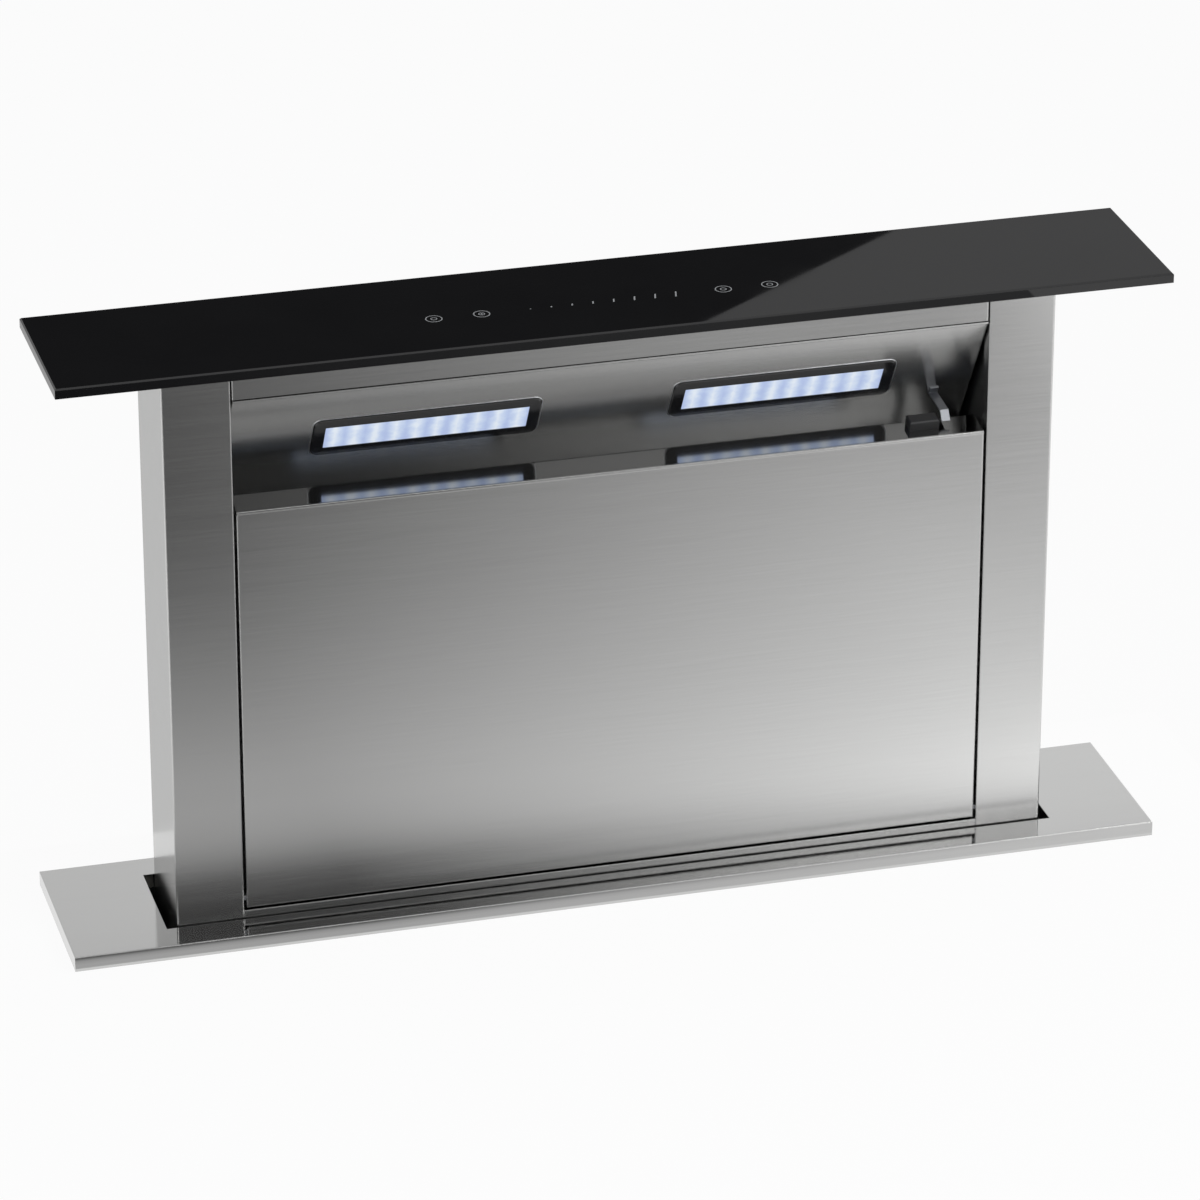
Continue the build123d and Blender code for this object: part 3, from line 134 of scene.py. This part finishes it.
def mottled(tree, value, colour, contrast):
    """The colour, a little darker where the value is low and lighter where it is high."""
    darker = tuple(c * (1 - contrast) for c in colour)
    lighter = tuple(min(1.0, c * (1 + contrast)) for c in colour)
    return ramp(tree, value, [(noise_low, darker), (noise_high, lighter)])


def spread(tree, value, low, high, from_low=noise_low, from_high=noise_high):
    """The value, moved from one range to another."""
    node = tree.nodes.new("ShaderNodeMapRange")
    node.inputs["From Min"].default_value = from_low
    node.inputs["From Max"].default_value = from_high
    node.inputs["To Min"].default_value = low
    node.inputs["To Max"].default_value = high
    tree.links.new(value, node.inputs["Value"])
    return node.outputs["Result"]


def calculate(tree, operation, first, second=None):
    """A sum on a socket, with a second socket or plain number where the sum takes one."""
    node = tree.nodes.new("ShaderNodeMath")
    node.operation = operation
    tree.links.new(first, node.inputs[0])
    if isinstance(second, bpy.types.NodeSocket):
        tree.links.new(second, node.inputs[1])
    elif second is not None:
        node.inputs[1].default_value = second
    return node.outputs["Value"]


def mixed(tree, factor, first, second):
    """The first shader where the factor is 0 and the second where it is 1."""
    node = tree.nodes.new("ShaderNodeMixShader")
    tree.links.new(factor, node.inputs["Fac"])
    tree.links.new(first, node.inputs[1])
    tree.links.new(second, node.inputs[2])
    return node.outputs["Shader"]


def axes(tree, vector):
    """The vector's three parts, by the names X, Y and Z."""
    node = tree.nodes.new("ShaderNodeSeparateXYZ")
    tree.links.new(vector, node.inputs["Vector"])
    return node.outputs


def rounded(tree, radius):
    """The surface's direction, rounded near its edges."""
    node = tree.nodes.new("ShaderNodeBevel")
    node.samples = bevel_samples
    node.inputs["Radius"].default_value = radius
    return node.outputs["Normal"]


def bump(tree, shader, height, strength, distance, edge=0.0):
    """Fine relief, on edges that look rounded by the given radius."""
    node = tree.nodes.new("ShaderNodeBump")
    node.inputs["Strength"].default_value = strength
    node.inputs["Distance"].default_value = distance
    tree.links.new(height, node.inputs["Height"])
    if edge:
        tree.links.new(rounded(tree, edge), node.inputs["Normal"])
    tree.links.new(node.outputs["Normal"], shader.inputs["Normal"])


# ---------------------------------------------------------------- kinds of finish
def brushed(
    name,
    colour,
    rough,
    along="X",
    edge=0.0006,
    contrast=0.04,
    spread_out=0.55,
    level_rough=None,
    level_painted_shade=1.0,
):
    """Brushed steel. The lines run along an axis, and a highlight spreads across them.

    A level face of the same piece, such as a turned-back flange, may be smoother than the upright ones,
    and its colour may be painted darker, a painted shade for the dark surroundings that it mirrors.
    """
    material, tree, shader = new_material(name)
    lines_per_metre, ends_per_metre, lines_per_band = 2100.0, 18.0, 30
    grain = tuple(ends_per_metre if axis == along else lines_per_metre for axis in "XYZ")
    coarse_grain = tuple(g / lines_per_band for g in grain)
    lines = noise(tree, position(tree, grain), detail=3.0, roughness=0.6)
    bands = noise(tree, position(tree, coarse_grain), detail=2.0, roughness=0.5)
    tint = mottled(tree, lines, colour, contrast)

    quarter_turn = 0.25
    shader.inputs["Metallic"].default_value = 1.0
    shader.inputs["Anisotropic"].default_value = spread_out
    shader.inputs["Anisotropic Rotation"].default_value = quarter_turn
    # the grain's direction leans a little off its axis, so that no face lies square to it
    lean = {"X": 0.002, "Y": 0.002, "Z": 0.02}
    direction = tree.nodes.new("ShaderNodeCombineXYZ")
    for axis in "XYZ":
        direction.inputs[axis].default_value = 1.0 if axis == along else lean[axis]
    tree.links.new(direction.outputs["Vector"], shader.inputs["Tangent"])

    # half of the roughness varies with the lines and half with the broader bands
    from_lines = spread(tree, lines, rough * 0.42, rough * 0.58)
    from_bands = spread(tree, bands, rough * 0.46, rough * 0.54)
    roughness = calculate(tree, "ADD", from_lines, from_bands)
    if level_rough is not None:
        upright_below, level_above = 0.85, 0.9
        geometry = tree.nodes.new("ShaderNodeNewGeometry")
        upward = axes(tree, geometry.outputs["True Normal"])["Z"]
        smoother = spread(tree, upward, 1.0, level_rough / rough, upright_below, level_above)
        # painted shade: the colour of level faces is scaled down here, standing in for the dark they
        # mirror
        darker = spread(tree, upward, 1.0, level_painted_shade, upright_below, level_above)
        roughness = calculate(tree, "MULTIPLY", roughness, smoother)
        painted_shade = tree.nodes.new("ShaderNodeVectorMath")
        painted_shade.operation = "SCALE"
        tree.links.new(tint, painted_shade.inputs[0])
        tree.links.new(darker, painted_shade.inputs["Scale"])
        tint = painted_shade.outputs["Vector"]
    tree.links.new(tint, shader.inputs["Base Color"])
    tree.links.new(roughness, shader.inputs["Roughness"])
    bump(tree, shader, lines, strength=0.3, distance=0.000012, edge=edge)
    return material


def machined(name, colour, rough, scale=700.0, edge=0.0004, contrast=0.04):
    """Turned, cast or plated metal with a fine even grain."""
    material, tree, shader = new_material(name)
    fine = noise(tree, position(tree), scale, detail=3.0, roughness=0.6)
    tree.links.new(mottled(tree, fine, colour, contrast), shader.inputs["Base Color"])
    tree.links.new(spread(tree, fine, rough * 0.85, rough * 1.15), shader.inputs["Roughness"])
    shader.inputs["Metallic"].default_value = 1.0
    bump(tree, shader, fine, strength=0.3, distance=0.00001, edge=edge)
    return material


def moulded(name, colour, rough, speckle=900.0, depth=0.00003, contrast=0.1, edge=0.0005, coat=0.0):
    """Moulded plastic or paint with a fine uneven surface."""
    material, tree, shader = new_material(name)
    patch = speckle / 40
    fine = noise(tree, position(tree), speckle, detail=2.0, roughness=0.5)
    broad = noise(tree, position(tree), patch, detail=2.0, roughness=0.5)
    roughness = spread(tree, fine, rough * 0.88, min(1.0, rough * 1.12))
    tree.links.new(mottled(tree, broad, colour, contrast), shader.inputs["Base Color"])
    tree.links.new(roughness, shader.inputs["Roughness"])
    if coat:
        shader.inputs["Coat Weight"].default_value = coat
        shader.inputs["Coat Roughness"].default_value = 0.05
    bump(tree, shader, fine, strength=0.4, distance=depth, edge=edge)
    return material


def spangled(name, colour, rough=0.42):
    """Galvanised sheet with its crystal pattern."""
    material, tree, shader = new_material(name)
    crystals_per_metre = 95.0
    cells = tree.nodes.new("ShaderNodeTexVoronoi")
    cells.inputs["Scale"].default_value = crystals_per_metre
    tree.links.new(position(tree), cells.inputs["Vector"])
    brightness = tree.nodes.new("ShaderNodeRGBToBW")
    tree.links.new(cells.outputs["Color"], brightness.inputs["Color"])
    crystal = brightness.outputs["Val"]
    darker = tuple(c * 0.86 for c in colour)
    roughness = spread(tree, crystal, rough * 0.8, rough * 1.25, 0.1, 0.9)
    tree.links.new(ramp(tree, crystal, [(0.2, darker), (0.8, colour)]), shader.inputs["Base Color"])
    tree.links.new(roughness, shader.inputs["Roughness"])
    shader.inputs["Metallic"].default_value = 1.0
    fine = noise(tree, position(tree), scale=700.0, detail=2.0)
    bump(tree, shader, fine, strength=0.25, distance=0.00003, edge=0.0004)
    return material


def glass_black():
    """Black glass, with a faint smear that is hardly lighter than the rest."""
    material, tree, shader = new_material("black_glass")
    smear = noise(tree, position(tree), scale=14.0, detail=3.0)
    clean, smeared = (0.0048, 0.0048, 0.0056), (0.0062, 0.0062, 0.0070)
    tint = ramp(tree, smear, [(noise_low, clean), (noise_high, smeared)])
    tree.links.new(tint, shader.inputs["Base Color"])
    tree.links.new(spread(tree, smear, 0.012, 0.028), shader.inputs["Roughness"])
    shader.inputs["IOR"].default_value = 1.5
    ground_edge = 0.0004
    tree.links.new(rounded(tree, ground_edge), shader.inputs["Normal"])
    return material


def lit_lens():
    """Clear ribbed plate over a row of cold white LEDs: soft bluish cells."""
    material, tree, shader = new_material("lens")
    cell_pitch, first_rib = 0.016, 0.062
    unevenness = 0.10
    # the two lamps mirror each other, so a cell is found from the distance to the middle
    from_middle = calculate(tree, "ABSOLUTE", axes(tree, position(tree))["X"])
    cell = calculate(tree, "DIVIDE", calculate(tree, "SUBTRACT", from_middle, first_rib), cell_pitch)
    place = calculate(tree, "PINGPONG", calculate(tree, "FRACT", cell), 0.5)
    blotches = noise(tree, position(tree), scale=130.0, detail=2.0)
    cloud = spread(tree, blotches, -unevenness, unevenness)
    glow = ramp(
        tree,
        calculate(tree, "ADD", place, cloud),
        [
            (0.0, (0.46, 0.56, 0.84)),
            (0.14, (0.52, 0.63, 0.88)),
            (0.32, (0.66, 0.76, 0.94)),
            (0.5, (0.82, 0.89, 0.98)),
        ],
    )
    tree.links.new(glow, shader.inputs["Emission Color"])
    shader.inputs["Emission Strength"].default_value = 0.82
    shader.inputs["Base Color"].default_value = (0.12, 0.13, 0.15, 1)
    shader.inputs["Roughness"].default_value = 0.12
    return material


# ---------------------------------------------------------------- materials by slot
# a moulded finish names its colour, roughness, speckle scale and speckle depth, in that order
fold_radius = 0.0016
library = {
    # the panel's level flange has its colour painted darker, to 0.62 of the rest: a painted shade
    "brushed_panel": brushed(
        "brushed_panel",
        (0.60, 0.60, 0.595),
        0.21,
        edge=fold_radius,
        contrast=0.025,
        level_rough=0.11,
        level_painted_shade=0.62,
    ),
    "brushed_column": brushed(
        "brushed_column",
        (0.57, 0.57, 0.565),
        0.21,
        edge=fold_radius,
        contrast=0.025,
        level_rough=0.10,
    ),
    "plate_steel": brushed(
        "plate_steel",
        (0.62, 0.62, 0.615),
        0.10,
        edge=0.0008,
        contrast=0.02,
        spread_out=0.3,
    ),
    "black_glass": glass_black(),
    "galvanised": spangled("galvanised", (0.60, 0.62, 0.63)),
    "seal_foam": moulded("seal_foam", (0.02, 0.02, 0.02), 0.9, 1500.0, 0.0002),
    "belt_rubber": moulded("belt_rubber", (0.015, 0.015, 0.015), 0.7, 1200.0, 0.0001),
    "black_plastic": moulded("black_plastic", (0.014, 0.014, 0.015), 0.42, 1500.0, 0.00004),
    "bezel_black": moulded(
        "bezel_black",
        (0.008, 0.008, 0.009),
        0.16,
        depth=0.00001,
        edge=0.0004,
        coat=0.5,
    ),
    "blower_plastic": moulded("blower_plastic", (0.045, 0.046, 0.05), 0.5, 1300.0, 0.00006),
    "duct_plastic": moulded("duct_plastic", (0.10, 0.10, 0.108), 0.48, 1300.0, 0.00006),
    "nylon": moulded("nylon", (0.66, 0.64, 0.58), 0.45),
    "lens": lit_lens(),
    "lamp_board": moulded("lamp_board", (0.75, 0.76, 0.74), 0.35, 600.0, 0.00001),
    "circuit_board": moulded("circuit_board", (0.01, 0.10, 0.045), 0.3, 500.0, 0.00002, coat=0.4),
    "filter_aluminium": brushed("filter_aluminium", (0.68, 0.69, 0.70), 0.36, "Z"),
    "machined_aluminium": machined("machined_aluminium", (0.66, 0.67, 0.68), 0.30),
    "ground_steel": machined("ground_steel", (0.42, 0.43, 0.45), 0.24),
    "nut_brass": machined("nut_brass", (0.70, 0.50, 0.20), 0.28),
    "motor_black": moulded("motor_black", (0.018, 0.018, 0.02), 0.38, 1400.0, 0.00005, coat=0.2),
    "box_paint": moulded("box_paint", (0.48, 0.49, 0.50), 0.42, 1600.0, 0.00006),
    "zinc": machined("zinc", (0.66, 0.67, 0.69), 0.32, 500.0),
}
bright_fold = machined("bright_fold", (0.52, 0.52, 0.515), 0.18, edge=0.0)
spring_steel = machined("spring_steel", (0.30, 0.31, 0.33), 0.34)

slot_of = {entry["node"]: entry["material_slot"] for entry in frame["record"]["subparts"]}
for name, node in nodes.items():
    node.data.materials.clear()
    node.data.materials.append(library[slot_of[name]])
nodes["catch_clip"].data.materials[0] = spring_steel


# ---------------------------------------------------------------- small pieces on the part
def new_object(name, bm, materials):
    """An object made from the bmesh, in the scene."""
    mesh = bpy.data.meshes.new(name)
    bm.to_mesh(mesh)
    bm.free()
    for material in materials:
        mesh.materials.append(material)
    piece = bpy.data.objects.new(name, mesh)
    scene.collection.objects.link(piece)
    return piece


def touch_marks():
    """Two pairs of round touch fields and a rising row of level bars, printed on the glass."""
    glass_face, print_thickness = 0.488, 0.00003
    top = glass_face + print_thickness
    row = -0.0165
    fields = (-0.1353, -0.0979, 0.0932, 0.1303)
    # each field has a ring round it and a small one in its middle: outer and inner radius, corners
    field_ring, middle_ring = (0.0066, 0.0058, 40), (0.0026, 0.0019, 24)
    dashed_field, dash_half_width, dash_half_height = fields[1], 0.0005, 0.0012
    bm = bmesh.new()

    def ring(x, y, outer, inner, segments):
        loops = []
        for radius in (outer, inner):
            angles = [2 * math.pi * i / segments for i in range(segments)]
            points = [(x + radius * math.cos(a), y + radius * math.sin(a), top) for a in angles]
            loops.append([bm.verts.new(point) for point in points])
        for i in range(segments):
            j = (i + 1) % segments
            bm.faces.new((loops[0][i], loops[0][j], loops[1][j], loops[1][i]))

    def bar(x, half_width, half_height, lean=0.0):
        low, high = row - half_height, row + half_height
        corners = (
            (x - half_width - lean, low),
            (x + half_width - lean, low),
            (x + half_width + lean, high),
            (x - half_width + lean, high),
        )
        bm.faces.new([bm.verts.new((*corner, top)) for corner in corners])

    for x in fields:
        ring(x, row, *field_ring)
        ring(x, row, *middle_ring)
    bar(dashed_field, dash_half_width, dash_half_height)

    bars, first_bar, bar_pitch, half_width = 8, -0.0595, 0.0164, 0.0006
    lowest, rise, slant = 0.0004, 0.0044, 0.25
    for i in range(bars):
        half_height = lowest + rise * i / (bars - 1)
        bar(first_bar + i * bar_pitch, half_width, half_height, half_height * slant)

    bm.normal_update()
    for face in bm.faces:
        if face.normal.z < 0:
            face.normal_flip()

    material, tree, shader = new_material("touch_print")
    grain = noise(tree, position(tree), scale=4000.0, detail=1.0)
    faint, full = (0.30, 0.31, 0.32), (0.36, 0.37, 0.38)
    tint = ramp(tree, grain, [(noise_low, faint), (noise_high, full)])
    tree.links.new(tint, shader.inputs["Base Color"])
    shader.inputs["Roughness"].default_value = 0.4
    piece = new_object("touch_marks", bm, [material])
    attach(piece, "column")


def pressed_edge(node, name):
    """The sheet's bright pressed edge, a thin bead that follows the lamp's surround on the slope."""
    slope = math.radians(58.5)
    proud, gap, wire = 0.0016, 0.0006, 0.00045
    corner, steps, sides = 0.0074, 6, 6
    tolerance = 0.0001
    across = Vector((1, 0, 0))
    upward = Vector((0, -math.cos(slope), math.sin(slope)))
    outward = Vector((0, -math.sin(slope), -math.cos(slope)))

    # the surround's rim is what lies nearest to its outer face
    points = [node.matrix_world @ v.co for v in node.data.vertices]
    top = max(p.dot(outward) for p in points)
    rim = [p for p in points if p.dot(outward) > top - proud - tolerance]
    left = min(p.dot(across) for p in rim) - gap
    right = max(p.dot(across) for p in rim) + gap
    low = min(p.dot(upward) for p in rim) - gap
    high = max(p.dot(upward) for p in rim) + gap

    bm = bmesh.new()
    loops = []
    for centre_x, centre_y, start in (
        (right - corner, high - corner, 0),
        (left + corner, high - corner, 90),
        (left + corner, low + corner, 180),
        (right - corner, low + corner, 270),
    ):
        for i in range(steps + 1):
            turn = math.radians(start + 90 * i / steps)
            u = centre_x + corner * math.cos(turn)
            v = centre_y + corner * math.sin(turn)
            normal = across * math.cos(turn) + upward * math.sin(turn)
            place = across * u + upward * v + outward * (top - proud)
            angles = [math.pi * k / sides for k in range(sides + 1)]
            around = [normal * math.cos(a) + outward * math.sin(a) for a in angles]
            loops.append([bm.verts.new(place + way * wire) for way in around])
    for i, loop in enumerate(loops):
        following = loops[(i + 1) % len(loops)]
        for k in range(sides):
            face = bm.faces.new((loop[k], following[k], following[k + 1], loop[k + 1]))
            face.smooth = True
    bm.normal_update()
    piece = new_object(name, bm, [library["zinc"]])
    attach(piece, "column")


def folded_edge(name, body, corner_y, corner_z, reach, radius, inset):
    """The rounded outside of a fold in the sheet: a rod sunk into the corner from end to end."""
    sides = 20
    angles = [2 * math.pi * i / sides for i in range(sides)]
    centre_y = corner_y + inset
    bm = bmesh.new()
    rings = []
    for x in (-reach, reach):
        around = [(centre_y + radius * math.cos(a), corner_z + radius * math.sin(a)) for a in angles]
        rings.append([bm.verts.new((x, y, z)) for y, z in around])
    for i in range(sides):
        j = (i + 1) % sides
        face = bm.faces.new((rings[0][i], rings[0][j], rings[1][j], rings[1][i]))
        face.smooth = True
    for ring in rings:
        bm.faces.new(ring)
        for i in range(sides):
            # the flat ends keep out of the rod's smooth shading
            bm.edges.get((ring[i], ring[(i + 1) % sides])).smooth = False
    bmesh.ops.recalc_face_normals(bm, faces=bm.faces)
    piece = new_object(name, bm, [bright_fold])
    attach(piece, body)


touch_marks()
for hand in ("left", "right"):
    pressed_edge(nodes[f"lamp_bezel_{hand}"], f"lamp_edge_{hand}")

panel_low, panel_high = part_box("front_panel")
lamp_low, lamp_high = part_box("lamp_panel")
panel_top_edge, fascia_foot = 0.358, 0.4495
panel_rod, panel_inset = 0.0018, 0.0012
fascia_rod, fascia_inset = 0.0014, 0.0004
panel_rod_height = panel_top_edge - panel_inset
folded_edge(
    "panel_fold",
    "front_panel",
    corner_y=panel_low[1],
    corner_z=panel_rod_height,
    reach=panel_high[0],
    radius=panel_rod,
    inset=panel_inset,
)
folded_edge(
    "fascia_fold",
    "column",
    corner_y=lamp_low[1],
    corner_z=fascia_foot,
    reach=lamp_high[0],
    radius=fascia_rod,
    inset=fascia_inset,
)


# ---------------------------------------------------------------- worktop and floor
def plain(name, colour, camera_white, mirror_white):
    """A pale matt surface that the camera and mirrors see nearer to white, with its shadows kept."""
    material, tree, output = empty_material(name)
    matt = tree.nodes.new("ShaderNodeBsdfDiffuse")
    matt.inputs["Color"].default_value = (*colour, 1)
    rays = tree.nodes.new("ShaderNodeLightPath")
    surface = matt.outputs["BSDF"]
    for ray, share, level in (
        ("Is Camera Ray", camera_white, 1.0),
        ("Is Glossy Ray", 1.0, mirror_white),
    ):
        glow = tree.nodes.new("ShaderNodeEmission")
        glow.inputs["Color"].default_value = (level, level, level, 1)
        factor = calculate(tree, "MULTIPLY", rays.outputs[ray], share)
        surface = mixed(tree, factor, surface, glow.outputs["Emission"])
    tree.links.new(surface, output.inputs["Surface"])
    return material


def slab(name, outer, inner, top, bottom, material, edge_material):
    """A flat slab with a rectangular cut-out, with its own material on the edges and below."""
    bm = bmesh.new()

    def rectangle(x0, x1, y0, y1, z):
        return [bm.verts.new(p) for p in ((x0, y0, z), (x1, y0, z), (x1, y1, z), (x0, y1, z))]

    outer_top, outer_bottom = rectangle(*outer, top), rectangle(*outer, bottom)
    inner_top, inner_bottom = rectangle(*inner, top), rectangle(*inner, bottom)
    for i in range(4):
        j = (i + 1) % 4
        upper = bm.faces.new((outer_top[i], outer_top[j], inner_top[j], inner_top[i]))
        lower = bm.faces.new((outer_bottom[j], outer_bottom[i], inner_bottom[i], inner_bottom[j]))
        outside = bm.faces.new((outer_bottom[i], outer_bottom[j], outer_top[j], outer_top[i]))
        inside = bm.faces.new((inner_bottom[j], inner_bottom[i], inner_top[i], inner_top[j]))
        upper.material_index = 0
        for face in (lower, outside, inside):
            face.material_index = 1
    piece = new_object(name, bm, [material, edge_material])


def flat(name, corners, material):
    """One flat face of the stage."""
    bm = bmesh.new()
    bm.faces.new([bm.verts.new(corner) for corner in corners])
    piece = new_object(name, bm, [material])
    return piece


def lying(x0, x1, y0, y1, z):
    """The corners of a level rectangle that faces up."""
    return [(x0, y0, z), (x1, y0, z), (x1, y1, z), (x0, y1, z)]


def standing(x0, x1, y, z0, z1):
    """The corners of an upright rectangle that faces the front."""
    return [(x0, y, z0), (x1, y, z0), (x1, y, z1), (x0, y, z1)]


pale = (0.86, 0.86, 0.86)
seen_white, mirrored_white = 0.93, 0.92
worktop_outer = (-0.66, 0.52, -0.68, 0.14)
cutout = (-0.386, 0.386, -0.0665, 0.0665)
worktop_top, worktop_bottom = -0.0004, -0.0376
worktop_white = plain("worktop_white", pale, seen_white, mirrored_white)
worktop_edge = plain("worktop_edge", (0.74, 0.74, 0.73), camera_white=0.0, mirror_white=0.6)
slab("worktop", worktop_outer, cutout, worktop_top, worktop_bottom, worktop_white, worktop_edge)

floor_level, floor_reach = -0.862, 9.0
floor_white = plain("floor_white", pale, seen_white, mirrored_white)
floor_corners = lying(-floor_reach, floor_reach, -floor_reach, floor_reach, floor_level)
flat("floor", floor_corners, floor_white)


# ---------------------------------------------------------------- studio cards
def card_material(name, strength, left_levels, right_levels, along, across):
    """Light that changes along one axis, with one set of levels at the left and another at the right."""
    material, tree, output = empty_material(name)
    glow = tree.nodes.new("ShaderNodeEmission")
    place = axes(tree, position(tree))
    axis, start, stop = along
    way = spread(tree, place[axis], 0.0, 1.0, start, stop)
    blend = tree.nodes.new("ShaderNodeMix")
    blend.data_type = "RGBA"
    factor, left, right, blended = blend.inputs[0], blend.inputs[6], blend.inputs[7], blend.outputs[2]
    tree.links.new(spread(tree, place["X"], 0.0, 1.0, *across), factor)
    tree.links.new(ramp(tree, way, greys(left_levels)), left)
    tree.links.new(ramp(tree, way, greys(right_levels)), right)
    tree.links.new(blended, glow.inputs["Color"])
    glow.inputs["Strength"].default_value = strength
    tree.links.new(glow.outputs["Emission"], output.inputs["Surface"])
    return material


def even(level):
    """The same level from end to end."""
    return [(0.0, level), (1.0, level)]


def studio_card(name, corners, strength, left_levels, right_levels, along, across):
    """A card that only shows in mirror-like surfaces, as a photographer's boards do."""
    material = card_material(name, strength, left_levels, right_levels, along, across)
    card = flat(name, corners, material)
    card.visible_camera = False
    card.visible_diffuse = False
    card.visible_transmission = False
    card.visible_shadow = False


# the front of the column mirrors this board, which lies in front of it on the worktop
front_near, front_far, board_height = -0.078, -1.60, 0.0006
front_left, front_right = -1.6, 1.8
studio_card(
    "front_board",
    lying(front_left, front_right, front_far, front_near, board_height),
    strength=1.5,
    left_levels=[
        (0.0, 0.36),
        (0.007, 0.36),
        (0.011, 0.02),
        (0.036, 0.05),
        (0.07, 0.33),
        (0.12, 0.40),
        (0.25, 0.26),
        (0.36, 0.14),
        (0.48, 0.06),
        (0.62, 0.03),
        (1.0, 0.08),
    ],
    right_levels=[
        (0.0, 0.55),
        (0.014, 0.55),
        (0.02, 0.80),
        (0.06, 0.92),
        (0.10, 0.78),
        (0.20, 0.62),
        (0.36, 0.50),
        (0.48, 0.36),
        (0.62, 0.22),
        (1.0, 0.4),
    ],
    along=("Y", front_near, front_far),
    across=(-0.20, 0.42),
)

# beyond the front board the worktop's far side is darker on the left
far_left, far_right, far_end = -3.0, 4.0, -4.5
studio_card(
    "far_board",
    lying(far_left, far_right, far_end, front_far, board_height),
    strength=1.0,
    left_levels=even(0.04),
    right_levels=even(0.52),
    along=("Y", front_far, far_end),
    across=(-0.20, 0.60),
)

# a pale board stands behind, as high as the plate needs, and a grey one above it on the right
behind, back_left, back_right, board_top = 1.5, -3.0, 3.2, 1.0
studio_card(
    "back_board",
    standing(back_left, back_right, behind, floor_level, board_top),
    strength=1.0,
    left_levels=[(0.0, 0.70), (0.94, 0.70), (1.0, 0.30)],
    right_levels=[(0.0, 0.86), (0.94, 0.86), (1.0, 0.40)],
    along=("Z", floor_level, board_top),
    across=(-0.4, 0.9),
)
grey_right, grey_foot, grey_top = 3.0, 1.08, 2.2
foot_left, top_left, top_left_height = 0.735, -0.10, 1.41
studio_card(
    "grey_board",
    [
        (foot_left, behind, grey_foot),
        (grey_right, behind, grey_foot),
        (grey_right, behind, grey_top),
        (top_left, behind, top_left_height),
    ],
    strength=1.0,
    left_levels=even(0.34),
    right_levels=even(0.36),
    along=("Z", 1.0, 2.0),
    across=(0.5, 1.5),
)

# The foot of the column, mirrored in the plate, shows what stands in front above the horizon.
# Higher up, the same light enters under the lamps and shows in the slope, by way of the filters' rail.
front_box_y = -1.4
for box_name, box_left, box_right, box_low, box_high in (
    ("front_box", -0.6, 1.6, 0.54, 0.78),
    ("front_box_high", 0.05, 0.80, 0.98, 1.30),
):
    studio_card(
        box_name,
        standing(box_left, box_right, front_box_y, box_low, box_high),
        strength=1.9,
        left_levels=even(0.03),
        right_levels=even(1.0),
        along=("Z", box_low, box_high),
        across=(0.17, 0.70),
    )

# strips beside the front board light the folded edges that face left and right
strip_far, strip_near, strip_height = -1.5, -0.08, 0.0012
for strip_name, near_x, far_x in (("left_strip", -0.52, -1.5), ("right_strip", 0.72, 1.7)):
    studio_card(
        strip_name,
        lying(near_x, far_x, strip_far, strip_near, strip_height),
        strength=1.3,
        left_levels=even(0.9),
        right_levels=even(0.9),
        along=("Y", strip_far, strip_near),
        across=(-1.0, 1.0),
    )


# ---------------------------------------------------------------- world and lamps
def studio_world():
    """White behind the part, even light on it, and a pale horizon and ceiling in what mirrors it."""
    world = bpy.data.worlds.new("studio")
    scene.world = world
    world.use_nodes = True
    tree = world.node_tree
    tree.nodes.clear()
    output = tree.nodes.new("ShaderNodeOutputWorld")
    rays = tree.nodes.new("ShaderNodeLightPath")
    seen = tree.nodes.new("ShaderNodeBackground")
    seen.inputs["Color"].default_value = (1, 1, 1, 1)
    lit = tree.nodes.new("ShaderNodeBackground")
    lit.inputs["Color"].default_value = (0.97, 0.98, 1.0, 1)
    lit.inputs["Strength"].default_value = 0.55
    mirrored = tree.nodes.new("ShaderNodeBackground")
    directions = tree.nodes.new("ShaderNodeTexCoord")
    upward = axes(tree, directions.outputs["Generated"])["Z"]
    height = spread(tree, upward, 0.0, 1.0, -1.0, 1.0)
    # pale near the horizon, dark above it, and the lamps' white ceiling overhead
    sky = [(0.50, 0.78), (0.60, 0.45), (0.66, 0.03), (0.86, 0.03), (0.90, 1.0)]
    tree.links.new(ramp(tree, height, greys(sky)), mirrored.inputs["Color"])

    glossy = rays.outputs["Is Glossy Ray"]
    on_the_part = mixed(tree, glossy, lit.outputs["Background"], mirrored.outputs["Background"])
    clear = calculate(tree, "MAXIMUM", rays.outputs["Is Camera Ray"], rays.outputs["Is Transmission Ray"])
    everything = mixed(tree, clear, on_the_part, seen.outputs["Background"])
    tree.links.new(everything, output.inputs["Surface"])


def area_light(name, place, size, power):
    """A square lamp that points at the part."""
    aim = Vector((0, 0, 0.1))
    data = bpy.data.lights.new(name, "AREA")
    data.shape = "RECTANGLE"
    data.size = size
    data.size_y = size
    data.energy = power
    lamp = bpy.data.objects.new(name, data)
    scene.collection.objects.link(lamp)
    lamp.location = place
    lamp.rotation_euler = (aim - Vector(place)).to_track_quat("-Z", "Y").to_euler()


studio_world()
area_light("key", place=(2.2, -1.8, 2.4), size=1.6, power=42)
area_light("fill", place=(-2.4, -2.0, 1.6), size=1.8, power=14)
